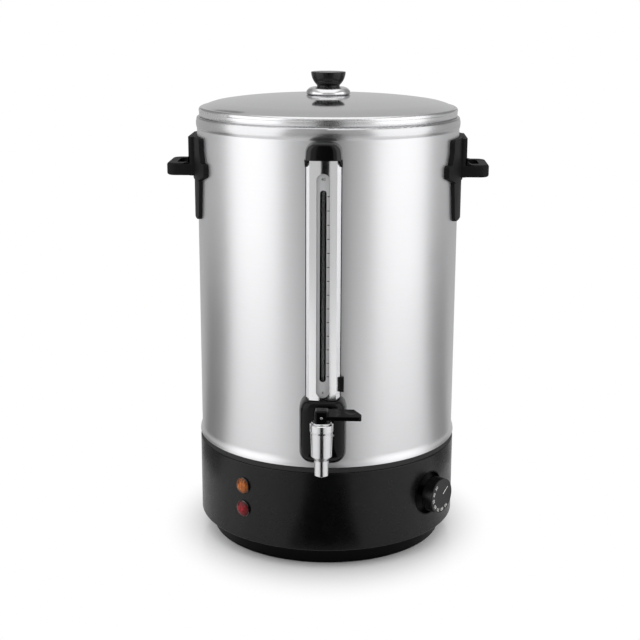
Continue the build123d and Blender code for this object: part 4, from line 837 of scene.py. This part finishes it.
gloss = Finish("table_gloss", (0.9, 0.9, 0.9), roughness=0.14)
gloss.set("Specular IOR Level", 0.42)
place = gloss.node("ShaderNodeTexCoord")
oval = gloss.node("ShaderNodeMapping", Scale=OVAL)
distance = gloss.node("ShaderNodeVectorMath", operation="LENGTH")
gloss.link(place.outputs["Object"], oval.inputs["Vector"])
gloss.link(oval.outputs["Vector"], distance.inputs[0])
fade = (SHADOW_END, WHITE_START)
far = gloss.remap(distance.outputs["Value"], fade, (0.0, 1.0), interpolation_type="SMOOTHSTEP")
seen = gloss.node("ShaderNodeLightPath").outputs["Is Camera Ray"]
white = gloss.node("ShaderNodeEmission", Color=WHITE, Strength=1.0)
blend = gloss.node("ShaderNodeMixShader")
gloss.link(gloss.maths("MULTIPLY", far, seen), blend.inputs["Fac"])
gloss.link(gloss.shader.outputs[0], blend.inputs[1])
gloss.link(white.outputs[0], blend.inputs[2])
gloss.link(blend.outputs[0], gloss.tree.nodes["Material Output"].inputs["Surface"])
table_mesh.materials.append(gloss.material)
print("to the front and back the table is plain white from", WHITE_START, "m on")

# %% [markdown]
# ## The room
#
# The room is white too. Seen straight on it is pure white, but its light on the urn is a little
# over half of that, so that steel stays grey and black stays black. A light path node tells the two
# apart.

# %% World
ROOM_LIGHT = 0.57
world = bpy.data.worlds.new("studio_world")
world.use_nodes = True
scene.world = world
room = world.node_tree
lighting = room.nodes["Background"]
backdrop = room.nodes.new("ShaderNodeBackground")
for shade, strength in ((lighting, ROOM_LIGHT), (backdrop, 1.0)):
    shade.inputs["Color"].default_value = WHITE
    shade.inputs["Strength"].default_value = strength
choose = room.nodes.new("ShaderNodeMixShader")
camera_ray = room.nodes.new("ShaderNodeLightPath").outputs["Is Camera Ray"]
room.links.new(camera_ray, choose.inputs["Fac"])
room.links.new(lighting.outputs[0], choose.inputs[1])
room.links.new(backdrop.outputs[0], choose.inputs[2])
room.links.new(choose.outputs[0], room.nodes["World Output"].inputs["Surface"])
print("room light", ROOM_LIGHT)

# %% [markdown]
# ## Softboxes
#
# Steel shows what stands round it. A tall softbox to each side draws the two bright bands on the
# drum, and a wide one overhead lights the lid and the grips from above.


# %% Softboxes
def softbox(name, azimuth, distance, centre_height, width, height, power, aim_height=0.35):
    """A tall area light at an azimuth in degrees round the urn, aimed at the drum's axis."""
    light = bpy.data.lights.new(name, "AREA")
    light.shape = "RECTANGLE"
    light.size = width
    light.size_y = height
    light.energy = power
    lamp = bpy.data.objects.new(name, light)
    scene.collection.objects.link(lamp)
    angle = radians(azimuth)
    lamp.location = (distance * sin(angle), -distance * cos(angle), centre_height)
    aim = Vector((0, 0, aim_height)) - lamp.location
    lamp.rotation_euler = aim.to_track_quat("-Z", "Y").to_euler()
    print(name, "of", power, "W at", azimuth, "degrees")


softbox("left_softbox", -63, 1.5, 0.75, width=1.6, height=1.7, power=9.9)
softbox("right_softbox", 66, 1.5, 0.75, width=1.6, height=1.7, power=9.7)
softbox("overhead_softbox", 0, 0.3, 2.2, width=2.2, height=2.2, power=12, aim_height=0)

# %% [markdown]
# ## Cards for the reflections
#
# In an all white room shiny metal looks flat, so black and grey cards are hung just out of sight to
# draw dark lines into it. These cards cast no shadow and the camera doesn't see them: only
# reflections do. A velvet card is black, and a grey card keeps one even level.

# %% Card helpers
velvet = Finish("black_velvet", (0.004, 0.004, 0.004), roughness=0.9)
velvet.set("Specular IOR Level", 0.0)


def grey_card(name, level):
    """A card of an even grey, whatever light falls on it."""
    card = Finish(name, (0, 0, 0), roughness=0.9)
    card.set("Specular IOR Level", 0.0)
    card.set("Emission Color", WHITE)
    card.set("Emission Strength", level)
    return card


def hang_card(name, corners, finish):
    """A card that only shiny surfaces see."""
    mesh = bpy.data.meshes.new(name)
    mesh.from_pydata(corners, [], [(0, 1, 2, 3)])
    mesh.materials.append(finish.material)
    card = bpy.data.objects.new(name, mesh)
    scene.collection.objects.link(card)
    for sight in ("visible_diffuse", "visible_shadow", "visible_transmission", "visible_camera"):
        setattr(card, sight, False)


def round_the_urn(azimuth, radius, height):
    """A point at an azimuth in degrees."""
    angle = radians(azimuth)
    return (radius * sin(angle), -radius * cos(angle), height)


print("cards are", velvet.material.name, "or an even grey")

# %% [markdown]
# ### Cards in front
#
# The camera looks down at the urn, so upright metal mirrors the table in front of it, and metal
# that leans back mirrors what stands behind the camera. A dark strip on the table and a dark flag
# behind the camera together draw a line down the middle of the shiny pieces. The flag's upper part
# is grey, because the lid would turn black in it when seen from behind.

# %% Front cards
FLAG_DISTANCE = 2.4
FLAG_STEP = 0.75
STRIP_HEIGHT = 1 * MM
dark_flag = [(-0.3, 0), (0.55, 0), (0.5, FLAG_STEP), (-0.25, FLAG_STEP)]
upper_flag = [(-0.25, FLAG_STEP), (0.5, FLAG_STEP), (0.3, 1.9), (-0.1, 1.9)]
dark_strip = [(-0.09, -0.24), (0.095, -0.24), (0.55, -2.39), (-0.3, -2.39)]
hang_card("dark_flag", [(x, -FLAG_DISTANCE, z) for x, z in dark_flag], velvet)
hang_card("upper_flag", [(x, -FLAG_DISTANCE, z) for x, z in upper_flag], grey_card("flag_grey", 0.3))
hang_card("dark_strip", [(x, y, STRIP_HEIGHT) for x, y in dark_strip], velvet)
print("flag up to", upper_flag[-1][1], "m")

# %% [markdown]
# ### Cards at the sides and back
#
# Near its two outlines the drum mirrors the table beside and behind it, so a grey strip on each
# side makes it darker there and rounds it off. Two grey cards high up behind the urn do the same
# for the lid. The strips differ a little, so that the two sides of the drum aren't twins.

# %% Side and back cards
SIDE_STARTS = {-1: 88, 1: 96}
SIDE_LEVELS = {-1: 0.2, 1: 0.26}
SIDE_END = 128
SIDE_NEAR, SIDE_FAR = 0.4, 2.1
BACK_START, BACK_END = 110, 158
BACK_LOW, BACK_HIGH = 0.9, 2.4
BACK_RADIUS = 2.4
BACK_LEVEL = 0.3
for side, start in SIDE_STARTS.items():
    ground = ((start, SIDE_NEAR), (start, SIDE_FAR), (SIDE_END, SIDE_FAR), (SIDE_END, SIDE_NEAR))
    strip = [round_the_urn(side * azimuth, radius, STRIP_HEIGHT) for azimuth, radius in ground]
    hang_card(f"side_strip_{side}", strip, grey_card(f"side_grey_{side}", SIDE_LEVELS[side]))
    upright = ((BACK_START, BACK_LOW), (BACK_END, BACK_LOW), (BACK_END, BACK_HIGH), (BACK_START, BACK_HIGH))
    back = [round_the_urn(side * azimuth, BACK_RADIUS, height) for azimuth, height in upright]
    hang_card(f"back_card_{side}", back, grey_card(f"back_grey_{side}", BACK_LEVEL))
print("side cards", list(SIDE_LEVELS.values()), "and back cards", BACK_LEVEL)

# %% [markdown]
# ## The camera
#
# A long lens from about 1.9 m, a little above the lid, keeps the drum's sides nearly parallel.
# The camera stands a touch to the right of the tap's line, because the urn isn't turned quite
# square to it. It is written as a place, four turns and a focal length, and its matrix is built from
# the three directions that they give. The Standard view transform shows a colour as it is written.

# %% Camera
CAMERA_DISTANCE = 1.796938
CAMERA_HEIGHT = 0.7481975
ORBIT = radians(1.6)
PITCH = radians(13.98143)
PAN = -0.0057580
ROLL = 0.0032986
FOCAL_PIXELS = 1295.8002
FRAME_PIXELS = 640

right = Vector((cos(PAN), -sin(PAN), 0))
forward = Vector((sin(PAN) * cos(PITCH), cos(PAN) * cos(PITCH), -sin(PITCH)))
upward = right.cross(forward)
camera_right = cos(ROLL) * right + sin(ROLL) * upward
camera_up = cos(ROLL) * upward - sin(ROLL) * right
camera_turn = Matrix((camera_right, camera_up, -forward)).transposed().to_4x4()
camera_place = Matrix.Translation((0, -CAMERA_DISTANCE, CAMERA_HEIGHT)) @ camera_turn

lens = bpy.data.cameras.new("studio_camera")
lens.sensor_width = 36.0
lens.lens = FOCAL_PIXELS / FRAME_PIXELS * lens.sensor_width
camera = bpy.data.objects.new("studio_camera", lens)
scene.collection.objects.link(camera)
camera.matrix_world = Matrix.Rotation(ORBIT, 4, "Z") @ camera_place
scene.camera = camera
scene.view_settings.view_transform = "Standard"
print("lens", round(lens.lens, 2), "mm")

# %% [markdown]
# ## The end
#
# The last cell only prints that the script has come to its end.

# %% The end
print("the end of the script")
